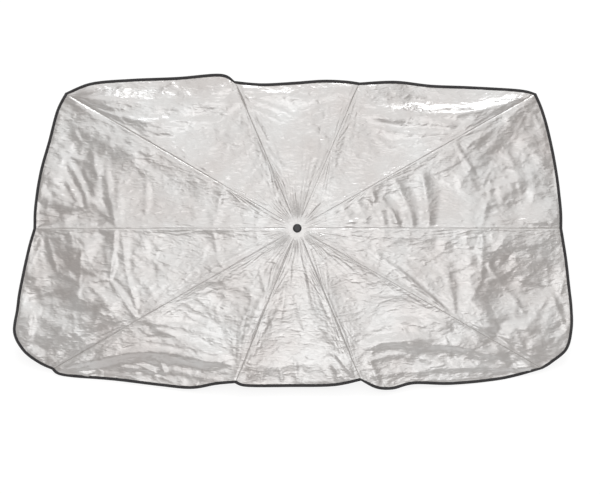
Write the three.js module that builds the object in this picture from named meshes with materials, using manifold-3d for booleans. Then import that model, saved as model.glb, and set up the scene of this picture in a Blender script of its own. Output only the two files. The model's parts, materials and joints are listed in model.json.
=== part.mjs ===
// Folding windscreen sunshade, built like a wide rectangular umbrella: a silver canopy of ten gores
// with a dark edge binding, ten folding ribs, ten stretchers, a runner and a two-section shaft.
// Sizes are in millimetres. In the shade's own frame +Z runs along the shaft towards the canopy,
// the wide edge of the canopy is at -Y, and the rib pivots in the crown lie at z = 0.
// At the end the open shade is laid down as it rests on a floor, on its hem and its handle.
import * as THREE from "three";
import * as BufferGeometryUtils from "three/addons/utils/BufferGeometryUtils.js";
import Module from "manifold-3d";

const wasm = await Module();
wasm.setup();

const CLEARANCE = 0.3;

// The canopy's size: the distance from the crown's axis to the hem at the right-hand rib. The reach of
// the other ribs and the shape of the hem follow it.
const CANOPY_REACH = 676;

// Ribs, anticlockwise from the right as seen from outside: direction in degrees, distance to the
// outer edge of the hem as a share of the canopy's reach, and whether it has three segments or two
const RIBS = [
  { azimuth: 0, share: 1, long: true },
  { azimuth: 29.5, share: 1.037, long: true },
  { azimuth: 66.8, share: 0.593, long: false },
  { azimuth: 113.0, share: 0.598, long: false },
  { azimuth: 149.7, share: 1.015, long: true },
  { azimuth: 180, share: 0.996, long: true },
  { azimuth: 209.8, share: 1.071, long: true },
  { azimuth: 248.0, share: 0.624, long: false },
  { azimuth: 292.7, share: 0.617, long: false },
  { azimuth: 330.2, share: 1.068, long: true },
].map((rib) => ({ ...rib, reach: rib.share * CANOPY_REACH }));

// Hem between each rib and the next: [share of the way, how far it bows out from the straight line
// in thousandths of the canopy's reach]
const HEM_BOWS = [
  [[0.14, 13], [0.4, 24], [0.67, 24], [0.87, 15]],
  [[0.1, 12], [0.39, 12], [0.6, 9], [0.8, 15]],
  [[0.12, 7], [0.3, 9], [0.54, 0], [0.79, -7]],
  [[0.08, 31], [0.33, 31], [0.6, 36], [0.84, 33]],
  [[0.14, 18], [0.36, 22], [0.6, 27], [0.85, 16]],
  [[0.13, 31], [0.4, 83], [0.55, 105], [0.71, 127], [0.85, 99], [0.95, 44]],
  [[0.07, 22], [0.35, 25], [0.6, 33], [0.77, 34], [0.9, 12]],
  [[0.1, 15], [0.45, 19], [0.78, 19]],
  [[0.08, 33], [0.17, 41], [0.29, 27], [0.5, 38], [0.78, 30]],
  [[0.05, 33], [0.16, 84], [0.31, 93], [0.46, 81], [0.6, 62], [0.8, 34]],
];

// Canopy
const CLOTH_THICKNESS = 1.0;
const BINDING_WIDTH = 7;
const BINDING_WIDENING_AT_RIBS = 1.2;
const BINDING_THICKNESS = 2.4;
const CLOTH_ABOVE_RIB = 5.3;
const CLOTH_ABOVE_TIP = 4.9;
const GORE_SAG = 9;
const CROWN_PLEAT = 1.3;
const CROWN_PLEAT_REACH = 110;
const HEM_PUCKER = 5;
const GORE_COLUMNS = 12;
const BINDING_STEPS = 12;

// Rib joints, as distances from the shaft's axis, and the slope of each rib segment when open
const CROWN_PIVOT_RADIUS = 11;
const STRETCHER_JOINT_RADIUS = 104;
const SECOND_JOINT_RADIUS = 212;
const THIRD_JOINT_RADIUS = 460;
const INNER_SLOPE = 2.5;
const MIDDLE_SLOPE = 5.5;
const OUTER_SLOPE = 10;

// Rows of a gore's surface from the crown to the first joint of a rib, from there to the next one
// and so on out to the hem: each joint has a row, so the cloth bends over it
const ROWS_ON_LONG_RIB = [2, 2, 3, 3];
const ROWS_ON_SHORT_RIB = [2, 2, 6];

// Rib sections and joint eyes
const CHANNEL_WIDTH = 3.0;
const CHANNEL_HEIGHT = 4.0;
const CHANNEL_WALL = 0.6;
const CHANNEL_END = 9;
const FORK_DEPTH = 12;
const TONGUE_LENGTH = 9;
const TONGUE_ROOT = 5;
const ROD_RADIUS = 1.5;
const LINK_WIRE_RADIUS = 0.6;
const PIVOT_OFFSET = 2.0;
const EYE_RADIUS = 1.7;
const EAR_LENGTH = 12;
const LUG_LENGTH = 4;
const LUG_WALL = 0.3;
const PIN_RADIUS = 0.7;
const RIVET_HEAD = 0.4;
const PIN_HOLE_RADIUS = PIN_RADIUS + CLEARANCE;
const CHEEK_THICKNESS = 0.8;
const CHEEK_GAP = CHANNEL_WIDTH + 2 * CLEARANCE;
const SOCKET_START = 5;
const SOCKET_LENGTH = 10;
const SOCKET_WALL = 0.5;
const TIP_RADIUS = 3.0;
const TIP_LENGTH = 11;
const TIP_END_RADIUS = 2.2;
const TIP_ROUNDING = 0.4;

// Crown and cap
const CROWN_RADIUS = 14.5;
const CROWN_BOTTOM = -9;
const CROWN_PLATE = 1.2;
const CROWN_CHAMFER = 2;
const CROWN_EDGE = 0.6;
const RING_WIRE_RADIUS = 0.55;
const RING_HOLE_RADIUS = RING_WIRE_RADIUS + 0.4;
const POST_RADIUS = 3.5;
const POST_HEIGHT = 4;
const CAP_RADIUS = 11;
const CAP_HEIGHT = 4.2;

// Shaft, runner and catch
const UPPER_TUBE_RADIUS = 5.0;
const TUBE_WALL = 0.6;
const LOWER_TUBE_RADIUS = UPPER_TUBE_RADIUS + CLEARANCE + TUBE_WALL;
const TUBE_TOP = 1;
const UPPER_TUBE_LENGTH = 216;
const LOWER_TUBE_TOP = -150;
const LOWER_TUBE_LENGTH = 148;
const TUBE_LIP = 0.3;
const RUNNER_PIVOT_RADIUS = 12;
const RUNNER_PIVOT_HEIGHT = -62;
const RUNNER_BORE = LOWER_TUBE_RADIUS + CLEARANCE;
const RUNNER_BARREL_RADIUS = 8.6;
const RUNNER_FLANGE_RADIUS = 15;
const RUNNER_FLANGE_HEIGHT = 8;
const RUNNER_BARREL_LENGTH = 18;
const RUNNER_RIM_RADIUS = 10.2;
const RUNNER_RIM_HEIGHT = 3;
const RUNNER_CHAMFER = 1;
const TONGUE_WIDTH = 2.4;
const CATCH_WIDTH = 2.4;
const CATCH_HEIGHT = 13;
const CATCH_STEP = 2;
const CATCH_PROUD = 0.9;
const CATCH_INNER = -1;

// Handle
const HANDLE_TOP = -262;
const GRIP_LENGTH = 66;
const GRIP_RADIUS = 12.2;
const GRIP_NECK_RADIUS = 9;
const GRIP_NECK_EDGE = 1.2;
const GRIP_SHOULDER = 15;
const GRIP_SHOULDER_BEND = 5;
const GRIP_FOOT = 11;
const GRIP_FOOT_EDGE = 4;
const GRIP_GROOVE_DEPTH = 0.8;
const GRIP_GROOVES = 5;
const END_CAP_RADIUS = 14;
const END_CAP_HEIGHT = 8;
const END_CAP_CHAMFER = 1.5;
const END_PLUG_RADIUS = 7.5;
const END_PLUG_LENGTH = 9;
const END_PLUG_TAPER = 0.5;

const radians = THREE.MathUtils.degToRad;

const silver = new THREE.MeshStandardMaterial({ color: 0xcfcecb, roughness: 0.38, metalness: 0.55 });
const darkTape = new THREE.MeshStandardMaterial({ color: 0x34343a, roughness: 0.85, metalness: 0 });
const blackPlastic = new THREE.MeshStandardMaterial({ color: 0x26262a, roughness: 0.5, metalness: 0 });
const steel = new THREE.MeshStandardMaterial({ color: 0x2c2d30, roughness: 0.4, metalness: 0.8 });
const bright = new THREE.MeshStandardMaterial({ color: 0xb9bcc0, roughness: 0.25, metalness: 0.95 });
const fibreglass = new THREE.MeshStandardMaterial({ color: 0x1d1e20, roughness: 0.45, metalness: 0 });
const gripRubber = new THREE.MeshStandardMaterial({ color: 0x1f1f21, roughness: 0.8, metalness: 0 });

// Solids: three.js shapes the pieces, and booleans join or cut them
function toSolid(geometry) {
  const bare = geometry.clone();
  bare.deleteAttribute("normal");
  bare.deleteAttribute("uv");
  const merged = BufferGeometryUtils.mergeVertices(bare, 1e-4);
  return new wasm.Manifold(
    new wasm.Mesh({
      numProp: 3,
      vertProperties: new Float32Array(merged.attributes.position.array),
      triVerts: new Uint32Array(merged.index.array),
    }),
  );
}

function toGeometry(solid) {
  const mesh = solid.getMesh();
  const geometry = new THREE.BufferGeometry();
  geometry.setAttribute("position", new THREE.BufferAttribute(mesh.vertProperties, 3));
  geometry.setIndex(new THREE.BufferAttribute(mesh.triVerts, 1));
  geometry.computeVertexNormals();
  return geometry;
}

function namedMesh(name, solidOrGeometry, material) {
  const geometry = solidOrGeometry.getMesh ? toGeometry(solidOrGeometry) : solidOrGeometry;
  const mesh = new THREE.Mesh(geometry, material);
  mesh.name = name;
  return mesh;
}

function block(x0, x1, y0, y1, z0, z1) {
  const geometry = new THREE.BoxGeometry(x1 - x0, y1 - y0, z1 - z0);
  geometry.translate((x0 + x1) / 2, (y0 + y1) / 2, (z0 + z1) / 2);
  return toSolid(geometry);
}

// A side profile drawn in x and z, extruded across y between y0 and y1
function plate(shape, y0, y1, curveSegments = 2) {
  const geometry = new THREE.ExtrudeGeometry(shape, { depth: y1 - y0, bevelEnabled: false, curveSegments });
  geometry.rotateX(Math.PI / 2);
  geometry.translate(0, y1, 0);
  return toSolid(geometry);
}

function crossPin(x, z, radius, y0, y1, sides = 6) {
  const geometry = new THREE.CylinderGeometry(radius, radius, y1 - y0, sides);
  geometry.translate(x, (y0 + y1) / 2, z);
  return toSolid(geometry);
}

// A rod or wire along x
function rod(x0, x1, y, z, radius, sides = 6) {
  const geometry = new THREE.CylinderGeometry(radius, radius, x1 - x0, sides);
  geometry.rotateZ(Math.PI / 2);
  geometry.translate((x0 + x1) / 2, y, z);
  return toSolid(geometry);
}

// A profile of [radius, height] turned round the z axis
function turned(profile, segments) {
  const geometry = new THREE.LatheGeometry(
    profile.map(([radius, height]) => new THREE.Vector2(radius, height)),
    segments,
  );
  geometry.rotateX(Math.PI / 2);
  return toSolid(geometry);
}

function cylinderAlongShaft(radius, bottom, top, segments = 24) {
  return turned([[0, bottom], [radius, bottom], [radius, top], [0, top]], segments);
}

function ringAlongShaft(inner, outer, bottom, top, segments = 24) {
  return turned([[inner, bottom], [outer, bottom], [outer, top], [inner, top], [inner, bottom]], segments);
}

// Lengths that follow from the joint radii, the slopes and the pivots' offsets
const innerLength =
  (SECOND_JOINT_RADIUS - CROWN_PIVOT_RADIUS - PIVOT_OFFSET * Math.sin(radians(INNER_SLOPE))) /
  Math.cos(radians(INNER_SLOPE));
const secondJointHeight =
  PIVOT_OFFSET * Math.cos(radians(INNER_SLOPE)) - innerLength * Math.sin(radians(INNER_SLOPE));
const middleLength =
  (THIRD_JOINT_RADIUS - SECOND_JOINT_RADIUS + 2 * PIVOT_OFFSET * Math.sin(radians(MIDDLE_SLOPE))) /
  Math.cos(radians(MIDDLE_SLOPE));
const thirdJointHeight =
  secondJointHeight -
  middleLength * Math.sin(radians(MIDDLE_SLOPE)) -
  2 * PIVOT_OFFSET * Math.cos(radians(MIDDLE_SLOPE));
const stretcherJointAlong = (STRETCHER_JOINT_RADIUS - CROWN_PIVOT_RADIUS) / Math.cos(radians(INNER_SLOPE));
const stretcherRise = -stretcherJointAlong * Math.sin(radians(INNER_SLOPE)) - RUNNER_PIVOT_HEIGHT;
const stretcherRun = STRETCHER_JOINT_RADIUS - RUNNER_PIVOT_RADIUS;
const stretcherLength = Math.hypot(stretcherRise, stretcherRun);
const stretcherAngle = Math.atan2(stretcherRise, stretcherRun);

function endSlope(rib) {
  return rib.long ? OUTER_SLOPE : MIDDLE_SLOPE;
}

// Height of the cloth's middle surface above rib number i, at a distance from the shaft's axis
function clothHeightOnRib(rib, distance) {
  const second = secondJointHeight - PIVOT_OFFSET + CLOTH_ABOVE_RIB;
  const third = thirdJointHeight + PIVOT_OFFSET + CLOTH_ABOVE_RIB;
  const lastRadius = rib.long ? THIRD_JOINT_RADIUS : SECOND_JOINT_RADIUS;
  const lastHeight = rib.long ? third : second;
  if (distance <= CROWN_PIVOT_RADIUS) return CLOTH_ABOVE_RIB;
  if (distance <= SECOND_JOINT_RADIUS) {
    const share = (distance - CROWN_PIVOT_RADIUS) / (SECOND_JOINT_RADIUS - CROWN_PIVOT_RADIUS);
    return THREE.MathUtils.lerp(CLOTH_ABOVE_RIB, second, share);
  }
  if (distance <= lastRadius) {
    const share = (distance - SECOND_JOINT_RADIUS) / (THIRD_JOINT_RADIUS - SECOND_JOINT_RADIUS);
    return THREE.MathUtils.lerp(second, third, share);
  }
  const beyond = distance - lastRadius;
  const closer = (CLOTH_ABOVE_RIB - CLOTH_ABOVE_TIP) * Math.min(1, beyond / (rib.reach - lastRadius));
  return lastHeight - beyond * Math.tan(radians(endSlope(rib))) - closer;
}

function ribTipPoint(rib) {
  const angle = radians(rib.azimuth);
  return new THREE.Vector2(rib.reach * Math.cos(angle), rib.reach * Math.sin(angle));
}

// The hem's outer edge between rib i and the next, as a smooth curve in plan
function hemCurve(i) {
  const start = ribTipPoint(RIBS[i]);
  const end = ribTipPoint(RIBS[(i + 1) % RIBS.length]);
  const chord = end.clone().sub(start);
  const outward = new THREE.Vector2(chord.y, -chord.x).normalize();
  const between = HEM_BOWS[i].map(([share, bow]) =>
    start.clone().addScaledVector(chord, share).addScaledVector(outward, (bow / 1000) * CANOPY_REACH),
  );
  return new THREE.SplineCurve([start, ...between, end]);
}

const hemCurves = RIBS.map((rib, i) => hemCurve(i));

// Width of the binding along a line from the crown, so that its width square to the hem stays even
function bindingReach(curve, t) {
  const outward = curve.getPointAt(t).normalize();
  const square = Math.abs(outward.cross(curve.getTangentAt(t)));
  const awayFromRib = Math.min(1, 10 * t, 10 * (1 - t));
  const widening = THREE.MathUtils.lerp(BINDING_WIDENING_AT_RIBS, 1 / Math.max(0.5, square), awayFromRib);
  return BINDING_WIDTH * widening;
}

// Height of the cloth at a share u of the way out and a share t of the way from rib i to the next.
// It lies flat over the crown, sags between the ribs, gathers in pleats round the cap and in
// puckers along the hem.
function clothHeight(i, t, u) {
  const rib = RIBS[i];
  const next = RIBS[(i + 1) % RIBS.length];
  const onRibs = THREE.MathUtils.lerp(
    clothHeightOnRib(rib, u * rib.reach),
    clothHeightOnRib(next, u * next.reach),
    t,
  );
  const reach = hemCurves[i].getPointAt(t).length();
  const pastCrown = Math.max(0, u * reach - CROWN_RADIUS - 1);
  const share = pastCrown / reach;
  const across = Math.sin(Math.PI * t);
  const sag = GORE_SAG * across * share * (2.2 - 1.6 * share);
  const gathered = Math.exp(-pastCrown / CROWN_PLEAT_REACH) * Math.min(1, pastCrown / 20);
  const pleats = CROWN_PLEAT * across * gathered * Math.cos(6 * Math.PI * t);
  const pucker = HEM_PUCKER * across * u ** 5 * Math.sin(Math.PI * (4 * t + i));
  return onRibs - sag + pleats + pucker;
}

// Where the rows of a gore cross a rib, as shares of the way from the crown's edge to the binding
function rowShares(rib, crownEdge) {
  const edge = rib.reach - (BINDING_WIDTH + CLEARANCE) * BINDING_WIDENING_AT_RIBS;
  const stops = [crownEdge, STRETCHER_JOINT_RADIUS, SECOND_JOINT_RADIUS];
  if (rib.long) stops.push(THIRD_JOINT_RADIUS);
  stops.push(edge);
  const shares = [0];
  const rowsBetween = rib.long ? ROWS_ON_LONG_RIB : ROWS_ON_SHORT_RIB;
  rowsBetween.forEach((rows, k) => {
    for (let row = 1; row <= rows; row++) {
      const distance = THREE.MathUtils.lerp(stops[k], stops[k + 1], row / rows);
      shares.push((distance - crownEdge) / (edge - crownEdge));
    }
  });
  return shares;
}

// One gore: a thin closed shell from the hole round the crown's post out to the binding
function goreGeometry(i) {
  const curve = hemCurves[i];
  const hole = POST_RADIUS + 2 * CLEARANCE;
  const crownEdge = CROWN_RADIUS + 1;
  const half = CLOTH_THICKNESS / 2;
  const sharesHere = rowShares(RIBS[i], crownEdge);
  const sharesNext = rowShares(RIBS[(i + 1) % RIBS.length], crownEdge);
  const rows = sharesHere.length + 1;
  const positions = [];
  for (const side of [half, -half]) {
    for (let row = 0; row < rows; row++) {
      for (let column = 0; column <= GORE_COLUMNS; column++) {
        const t = column / GORE_COLUMNS;
        const hem = curve.getPointAt(t);
        const edge = hem.length() - bindingReach(curve, t) * (1 + CLEARANCE / BINDING_WIDTH);
        const share = row === 0 ? 0 : THREE.MathUtils.lerp(sharesHere[row - 1], sharesNext[row - 1], t);
        const distance = row === 0 ? hole : THREE.MathUtils.lerp(crownEdge, edge, share);
        const point = hem.clone().setLength(distance);
        point.add(new THREE.Vector2(-hem.y, hem.x).setLength((CLEARANCE / 2) * (1 - 2 * t)));
        positions.push(point.x, point.y, clothHeight(i, t, point.length() / hem.length()) + side);
      }
    }
  }
  return closedSheet(positions, GORE_COLUMNS + 1, rows);
}

// Joins an upper and a lower grid of points, row by row, into one closed shell
function closedSheet(positions, columns, rows) {
  const faces = [];
  const layer = columns * rows;
  const at = (row, column, side) => side * layer + row * columns + column;
  for (let row = 0; row < rows - 1; row++) {
    for (let column = 0; column < columns - 1; column++) {
      const [a, b] = [at(row, column, 0), at(row, column + 1, 0)];
      const [c, d] = [at(row + 1, column, 0), at(row + 1, column + 1, 0)];
      faces.push(a, c, d, a, d, b);
      faces.push(a + layer, d + layer, c + layer, a + layer, b + layer, d + layer);
    }
  }
  const rim = [];
  for (let column = 0; column < columns - 1; column++) rim.push(at(0, column, 0));
  for (let row = 0; row < rows - 1; row++) rim.push(at(row, columns - 1, 0));
  for (let column = columns - 1; column > 0; column--) rim.push(at(rows - 1, column, 0));
  for (let row = rows - 1; row > 0; row--) rim.push(at(row, 0, 0));
  rim.forEach((a, k) => {
    const b = rim[(k + 1) % rim.length];
    faces.push(a, b, b + layer, a, b + layer, a + layer);
  });
  const geometry = new THREE.BufferGeometry();
  geometry.setAttribute("position", new THREE.Float32BufferAttribute(positions, 3));
  geometry.setIndex(faces);
  geometry.computeVertexNormals();
  return geometry;
}

// The folded tape round the whole hem: a closed band with a bevelled outer edge
function bindingGeometry() {
  const half = BINDING_THICKNESS / 2;
  const section = [[1, half], [0.2, half], [0, 0], [0.2, -half], [1, -half]];
  const positions = [];
  let rings = 0;
  RIBS.forEach((rib, i) => {
    const curve = hemCurves[i];
    for (let step = 0; step < BINDING_STEPS; step++) {
      const t = step / BINDING_STEPS;
      const hem = curve.getPointAt(t);
      for (const [inward, up] of section) {
        const point = hem.clone().setLength(hem.length() - inward * bindingReach(curve, t));
        const share = point.length() / hem.length();
        positions.push(point.x, point.y, clothHeight(i, t, share) + up);
      }
      rings += 1;
    }
  });
  const sides = section.length;
  const faces = [];
  for (let ring = 0; ring < rings; ring++) {
    for (let side = 0; side < sides; side++) {
      const a = ring * sides + side;
      const b = ring * sides + ((side + 1) % sides);
      const c = ((ring + 1) % rings) * sides + side;
      const d = ((ring + 1) % rings) * sides + ((side + 1) % sides);
      faces.push(a, b, d, a, d, c);
    }
  }
  const geometry = new THREE.BufferGeometry();
  geometry.setAttribute("position", new THREE.Float32BufferAttribute(positions, 3));
  geometry.setIndex(faces);
  geometry.computeVertexNormals();
  return geometry;
}

// Inner rib: a channel open underneath, flattened to an eye on the crown's ring wire at one end,
// with an ear above its outer end for the second joint. x runs outward from the crown pivot.
function innerRib() {
  const half = CHANNEL_HEIGHT / 2;
  const shape = new THREE.Shape();
  shape.moveTo(0, -half);
  shape.lineTo(innerLength - 1, -half);
  shape.lineTo(innerLength + EYE_RADIUS, PIVOT_OFFSET);
  shape.absarc(innerLength, PIVOT_OFFSET, EYE_RADIUS, 0, Math.PI * 0.8, false);
  shape.lineTo(innerLength - 5, half);
  shape.lineTo(0, half);
  shape.absarc(0, 0, half, Math.PI / 2, (Math.PI * 3) / 2, false);
  const width = CHANNEL_WIDTH / 2;
  const inside = width - CHANNEL_WALL;
  return plate(shape, -width, width)
    .subtract(block(CHANNEL_END, innerLength - CHANNEL_END, -inside, inside, -half - 1, half - CHANNEL_WALL))
    .subtract(crossPin(0, 0, RING_HOLE_RADIUS, -width - 1, width + 1))
    .subtract(crossPin(stretcherJointAlong, 0, PIN_HOLE_RADIUS, -width - 1, width + 1))
    .subtract(crossPin(innerLength, PIVOT_OFFSET, PIN_HOLE_RADIUS, -width - 1, width + 1));
}

// Stretcher: a wider channel with a fork and its rivet on the inner rib, and a tongue that sits in
// the runner's slot. x runs from the rivet to the runner, and z points away from the inner rib.
function stretcher() {
  const half = CHANNEL_HEIGHT / 2;
  const inside = CHEEK_GAP / 2;
  const width = inside + CHANNEL_WALL;
  const tongueStart = stretcherLength - TONGUE_LENGTH;
  const shape = new THREE.Shape();
  shape.moveTo(0, -half);
  shape.lineTo(tongueStart, -half);
  shape.lineTo(tongueStart, half);
  shape.lineTo(0, half);
  shape.absarc(0, 0, half, Math.PI / 2, (Math.PI * 3) / 2, false);
  const tongue = new THREE.Shape();
  tongue.moveTo(tongueStart - TONGUE_ROOT, -half);
  tongue.lineTo(stretcherLength, -half + 0.1);
  tongue.absarc(stretcherLength, 0, half - 0.1, -Math.PI / 2, Math.PI / 2, false);
  tongue.lineTo(tongueStart - TONGUE_ROOT, half - 0.4);
  return plate(shape, -width, width)
    .subtract(block(-half - 1, FORK_DEPTH, -inside, inside, -half - 1, half + 1))
    .subtract(block(0, tongueStart + 1, -inside, inside, -half + CHANNEL_WALL, half + 1))
    .add(plate(tongue, -TONGUE_WIDTH / 2, TONGUE_WIDTH / 2))
    .add(crossPin(0, 0, PIN_RADIUS, -width - RIVET_HEAD, width + RIVET_HEAD));
}

// The fork and rod socket at the inner end of a folding segment. The rod lies at height rodHeight
// from the pivot: below it on the second joint, above it on the third.
function forkAndSocket(rodHeight) {
  const inside = CHEEK_GAP / 2;
  const width = inside + CHEEK_THICKNESS;
  const towards = Math.sign(rodHeight);
  const near = rodHeight - towards * (Math.abs(rodHeight) - CLEARANCE);
  const far = rodHeight + towards * (ROD_RADIUS + SOCKET_WALL);
  const socketEnd = SOCKET_START + SOCKET_LENGTH;
  const cheek = new THREE.Shape();
  cheek.moveTo(0, towards * -EYE_RADIUS);
  cheek.lineTo(SOCKET_START + 1, near);
  cheek.lineTo(SOCKET_START + 1, far);
  cheek.lineTo(0, towards * EYE_RADIUS);
  cheek.absarc(0, 0, EYE_RADIUS, (towards * Math.PI) / 2, (towards * Math.PI * 3) / 2, towards < 0);
  const low = Math.min(near, far);
  const high = Math.max(near, far);
  return plate(cheek, -width, -inside)
    .add(plate(cheek, inside, width))
    .add(block(SOCKET_START, socketEnd, -width, width, low, high))
    .add(crossPin(0, 0, PIN_RADIUS, -width - RIVET_HEAD, width + RIVET_HEAD));
}

// Middle rib of a three-segment rib: fork, rod, control wire beside it, and the ear of the third joint
function middleRib() {
  const rodHeight = -PIVOT_OFFSET;
  const thirdPivotHeight = -2 * PIVOT_OFFSET;
  const earStart = middleLength - EAR_LENGTH;
  const width = CHANNEL_WIDTH / 2;
  const ear = new THREE.Shape();
  ear.moveTo(earStart, rodHeight + ROD_RADIUS + 0.2);
  ear.lineTo(earStart, rodHeight - ROD_RADIUS);
  ear.lineTo(middleLength - 4, rodHeight - ROD_RADIUS);
  ear.lineTo(middleLength - EYE_RADIUS, thirdPivotHeight);
  ear.absarc(middleLength, thirdPivotHeight, EYE_RADIUS, Math.PI, 2 * Math.PI, false);
  ear.lineTo(middleLength + 1, rodHeight + ROD_RADIUS + 0.2);
  const wireSide = CHEEK_GAP / 2 + CHEEK_THICKNESS + LINK_WIRE_RADIUS;
  const lugEnd = SOCKET_START + SOCKET_LENGTH;
  const wireLow = rodHeight - LINK_WIRE_RADIUS - LUG_WALL;
  const wireHigh = rodHeight + LINK_WIRE_RADIUS + LUG_WALL;
  return forkAndSocket(rodHeight)
    .add(rod(SOCKET_START + 1, earStart + 2, 0, rodHeight, ROD_RADIUS))
    .add(plate(ear, -width, width))
    .add(block(lugEnd - LUG_LENGTH, lugEnd, 0, wireSide + LINK_WIRE_RADIUS, wireLow, wireHigh))
    .add(block(earStart, earStart + LUG_LENGTH, 0, wireSide + LINK_WIRE_RADIUS, wireLow, wireHigh))
    .add(rod(lugEnd - 2, earStart + 2, wireSide, rodHeight, LINK_WIRE_RADIUS))
    .subtract(crossPin(middleLength, thirdPivotHeight, PIN_HOLE_RADIUS, -width - 1, width + 1));
}

// End rib: fork, rod and the rounded tip that is sewn into the hem
function endRib(length, rodHeight) {
  const tip = new THREE.LatheGeometry(
    [
      [0, 0],
      [TIP_END_RADIUS, 0],
      [TIP_RADIUS, TIP_LENGTH * 0.6],
      [TIP_RADIUS, TIP_LENGTH * 0.8],
      [TIP_END_RADIUS, TIP_LENGTH - TIP_ROUNDING],
      [0, TIP_LENGTH],
    ].map(([radius, along]) => new THREE.Vector2(radius, along)),
    8,
  );
  tip.rotateZ(-Math.PI / 2);
  tip.translate(length - TIP_LENGTH, 0, rodHeight);
  return forkAndSocket(rodHeight)
    .add(rod(SOCKET_START + 1, length - TIP_LENGTH + 3, 0, rodHeight, ROD_RADIUS))
    .add(toSolid(tip));
}

// Crown: a slotted boss on top of the shaft, with a groove for the ring wire that the ribs turn on
function crown() {
  const top = CLOTH_ABOVE_RIB - CLOTH_THICKNESS / 2 - CLEARANCE;
  const slotBottom = CROWN_BOTTOM - 1;
  const slotTop = top - CROWN_PLATE;
  const slotInner = CROWN_PIVOT_RADIUS - CHANNEL_HEIGHT / 2 - CLEARANCE;
  const half = CHANNEL_WIDTH / 2 + CLEARANCE;
  let body = turned(
    [
      [0, CROWN_BOTTOM],
      [CROWN_RADIUS - CROWN_CHAMFER, CROWN_BOTTOM],
      [CROWN_RADIUS, CROWN_BOTTOM + CROWN_CHAMFER],
      [CROWN_RADIUS, top - CROWN_EDGE],
      [CROWN_RADIUS - CROWN_EDGE, top],
      [POST_RADIUS, top],
      [POST_RADIUS, top + POST_HEIGHT],
      [0, top + POST_HEIGHT],
    ],
    24,
  );
  const groove = RING_WIRE_RADIUS + CLEARANCE;
  body = body
    .subtract(ringAlongShaft(CROWN_PIVOT_RADIUS - groove, CROWN_RADIUS + 1, -groove, groove))
    .subtract(cylinderAlongShaft(UPPER_TUBE_RADIUS + CLEARANCE, slotBottom, TUBE_TOP + CLEARANCE));
  for (const rib of RIBS) {
    const slot = block(slotInner, CROWN_RADIUS + 1, -half, half, slotBottom, slotTop);
    body = body.subtract(slot.rotate([0, 0, rib.azimuth]));
  }
  return body;
}

function ringWire() {
  return new THREE.TorusGeometry(CROWN_PIVOT_RADIUS, RING_WIRE_RADIUS, 6, 30);
}

// Cap: a shallow dome on the crown's post, over the gathered middle of the canopy
function cap() {
  const bottom = CLOTH_ABOVE_RIB + CLOTH_THICKNESS / 2 + CLEARANCE;
  const boreTop = CLOTH_ABOVE_RIB - CLOTH_THICKNESS / 2 + POST_HEIGHT;
  const bore = POST_RADIUS + CLEARANCE;
  return turned(
    [
      [bore, bottom],
      [CAP_RADIUS * 0.95, bottom],
      [CAP_RADIUS, bottom + CAP_HEIGHT * 0.2],
      [CAP_RADIUS * 0.97, bottom + CAP_HEIGHT * 0.48],
      [CAP_RADIUS * 0.84, bottom + CAP_HEIGHT * 0.76],
      [CAP_RADIUS * 0.62, bottom + CAP_HEIGHT * 0.95],
      [CAP_RADIUS * 0.5, bottom + CAP_HEIGHT],
      [0, bottom + CAP_HEIGHT],
      [0, boreTop],
      [bore, boreTop],
      [bore, bottom],
    ],
    32,
  );
}

// The catch lies under the open runner, in a window cut in the upper tube
const catchTop =
  RUNNER_PIVOT_HEIGHT - RUNNER_FLANGE_HEIGHT / 2 - RUNNER_BARREL_LENGTH - CLEARANCE;

function upperTube() {
  const half = CATCH_WIDTH / 2 + CLEARANCE;
  const low = catchTop - CATCH_HEIGHT - 1;
  const window = block(0, UPPER_TUBE_RADIUS + 1, -half, half, low, catchTop + CLEARANCE);
  const bore = UPPER_TUBE_RADIUS - TUBE_WALL;
  const bottom = TUBE_TOP - UPPER_TUBE_LENGTH;
  return ringAlongShaft(bore, UPPER_TUBE_RADIUS, bottom, TUBE_TOP).subtract(window);
}

function springCatch() {
  const shape = new THREE.Shape();
  shape.moveTo(CATCH_INNER, catchTop);
  shape.lineTo(UPPER_TUBE_RADIUS + CATCH_PROUD, catchTop);
  shape.lineTo(UPPER_TUBE_RADIUS + CATCH_PROUD, catchTop - CATCH_STEP);
  shape.lineTo(UPPER_TUBE_RADIUS - TUBE_WALL, catchTop - CATCH_HEIGHT);
  shape.lineTo(CATCH_INNER, catchTop - CATCH_HEIGHT);
  return plate(shape, -CATCH_WIDTH / 2, CATCH_WIDTH / 2);
}

// Lower tube: slides over the upper one, with a rolled lip at its mouth
function lowerTube() {
  const bore = UPPER_TUBE_RADIUS + CLEARANCE;
  const outer = LOWER_TUBE_RADIUS;
  return turned(
    [
      [bore, LOWER_TUBE_TOP - LOWER_TUBE_LENGTH],
      [outer, LOWER_TUBE_TOP - LOWER_TUBE_LENGTH],
      [outer, LOWER_TUBE_TOP - 2 * TUBE_LIP],
      [outer - TUBE_LIP, LOWER_TUBE_TOP],
      [bore, LOWER_TUBE_TOP],
      [bore, LOWER_TUBE_TOP - LOWER_TUBE_LENGTH],
    ],
    24,
  );
}

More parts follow.
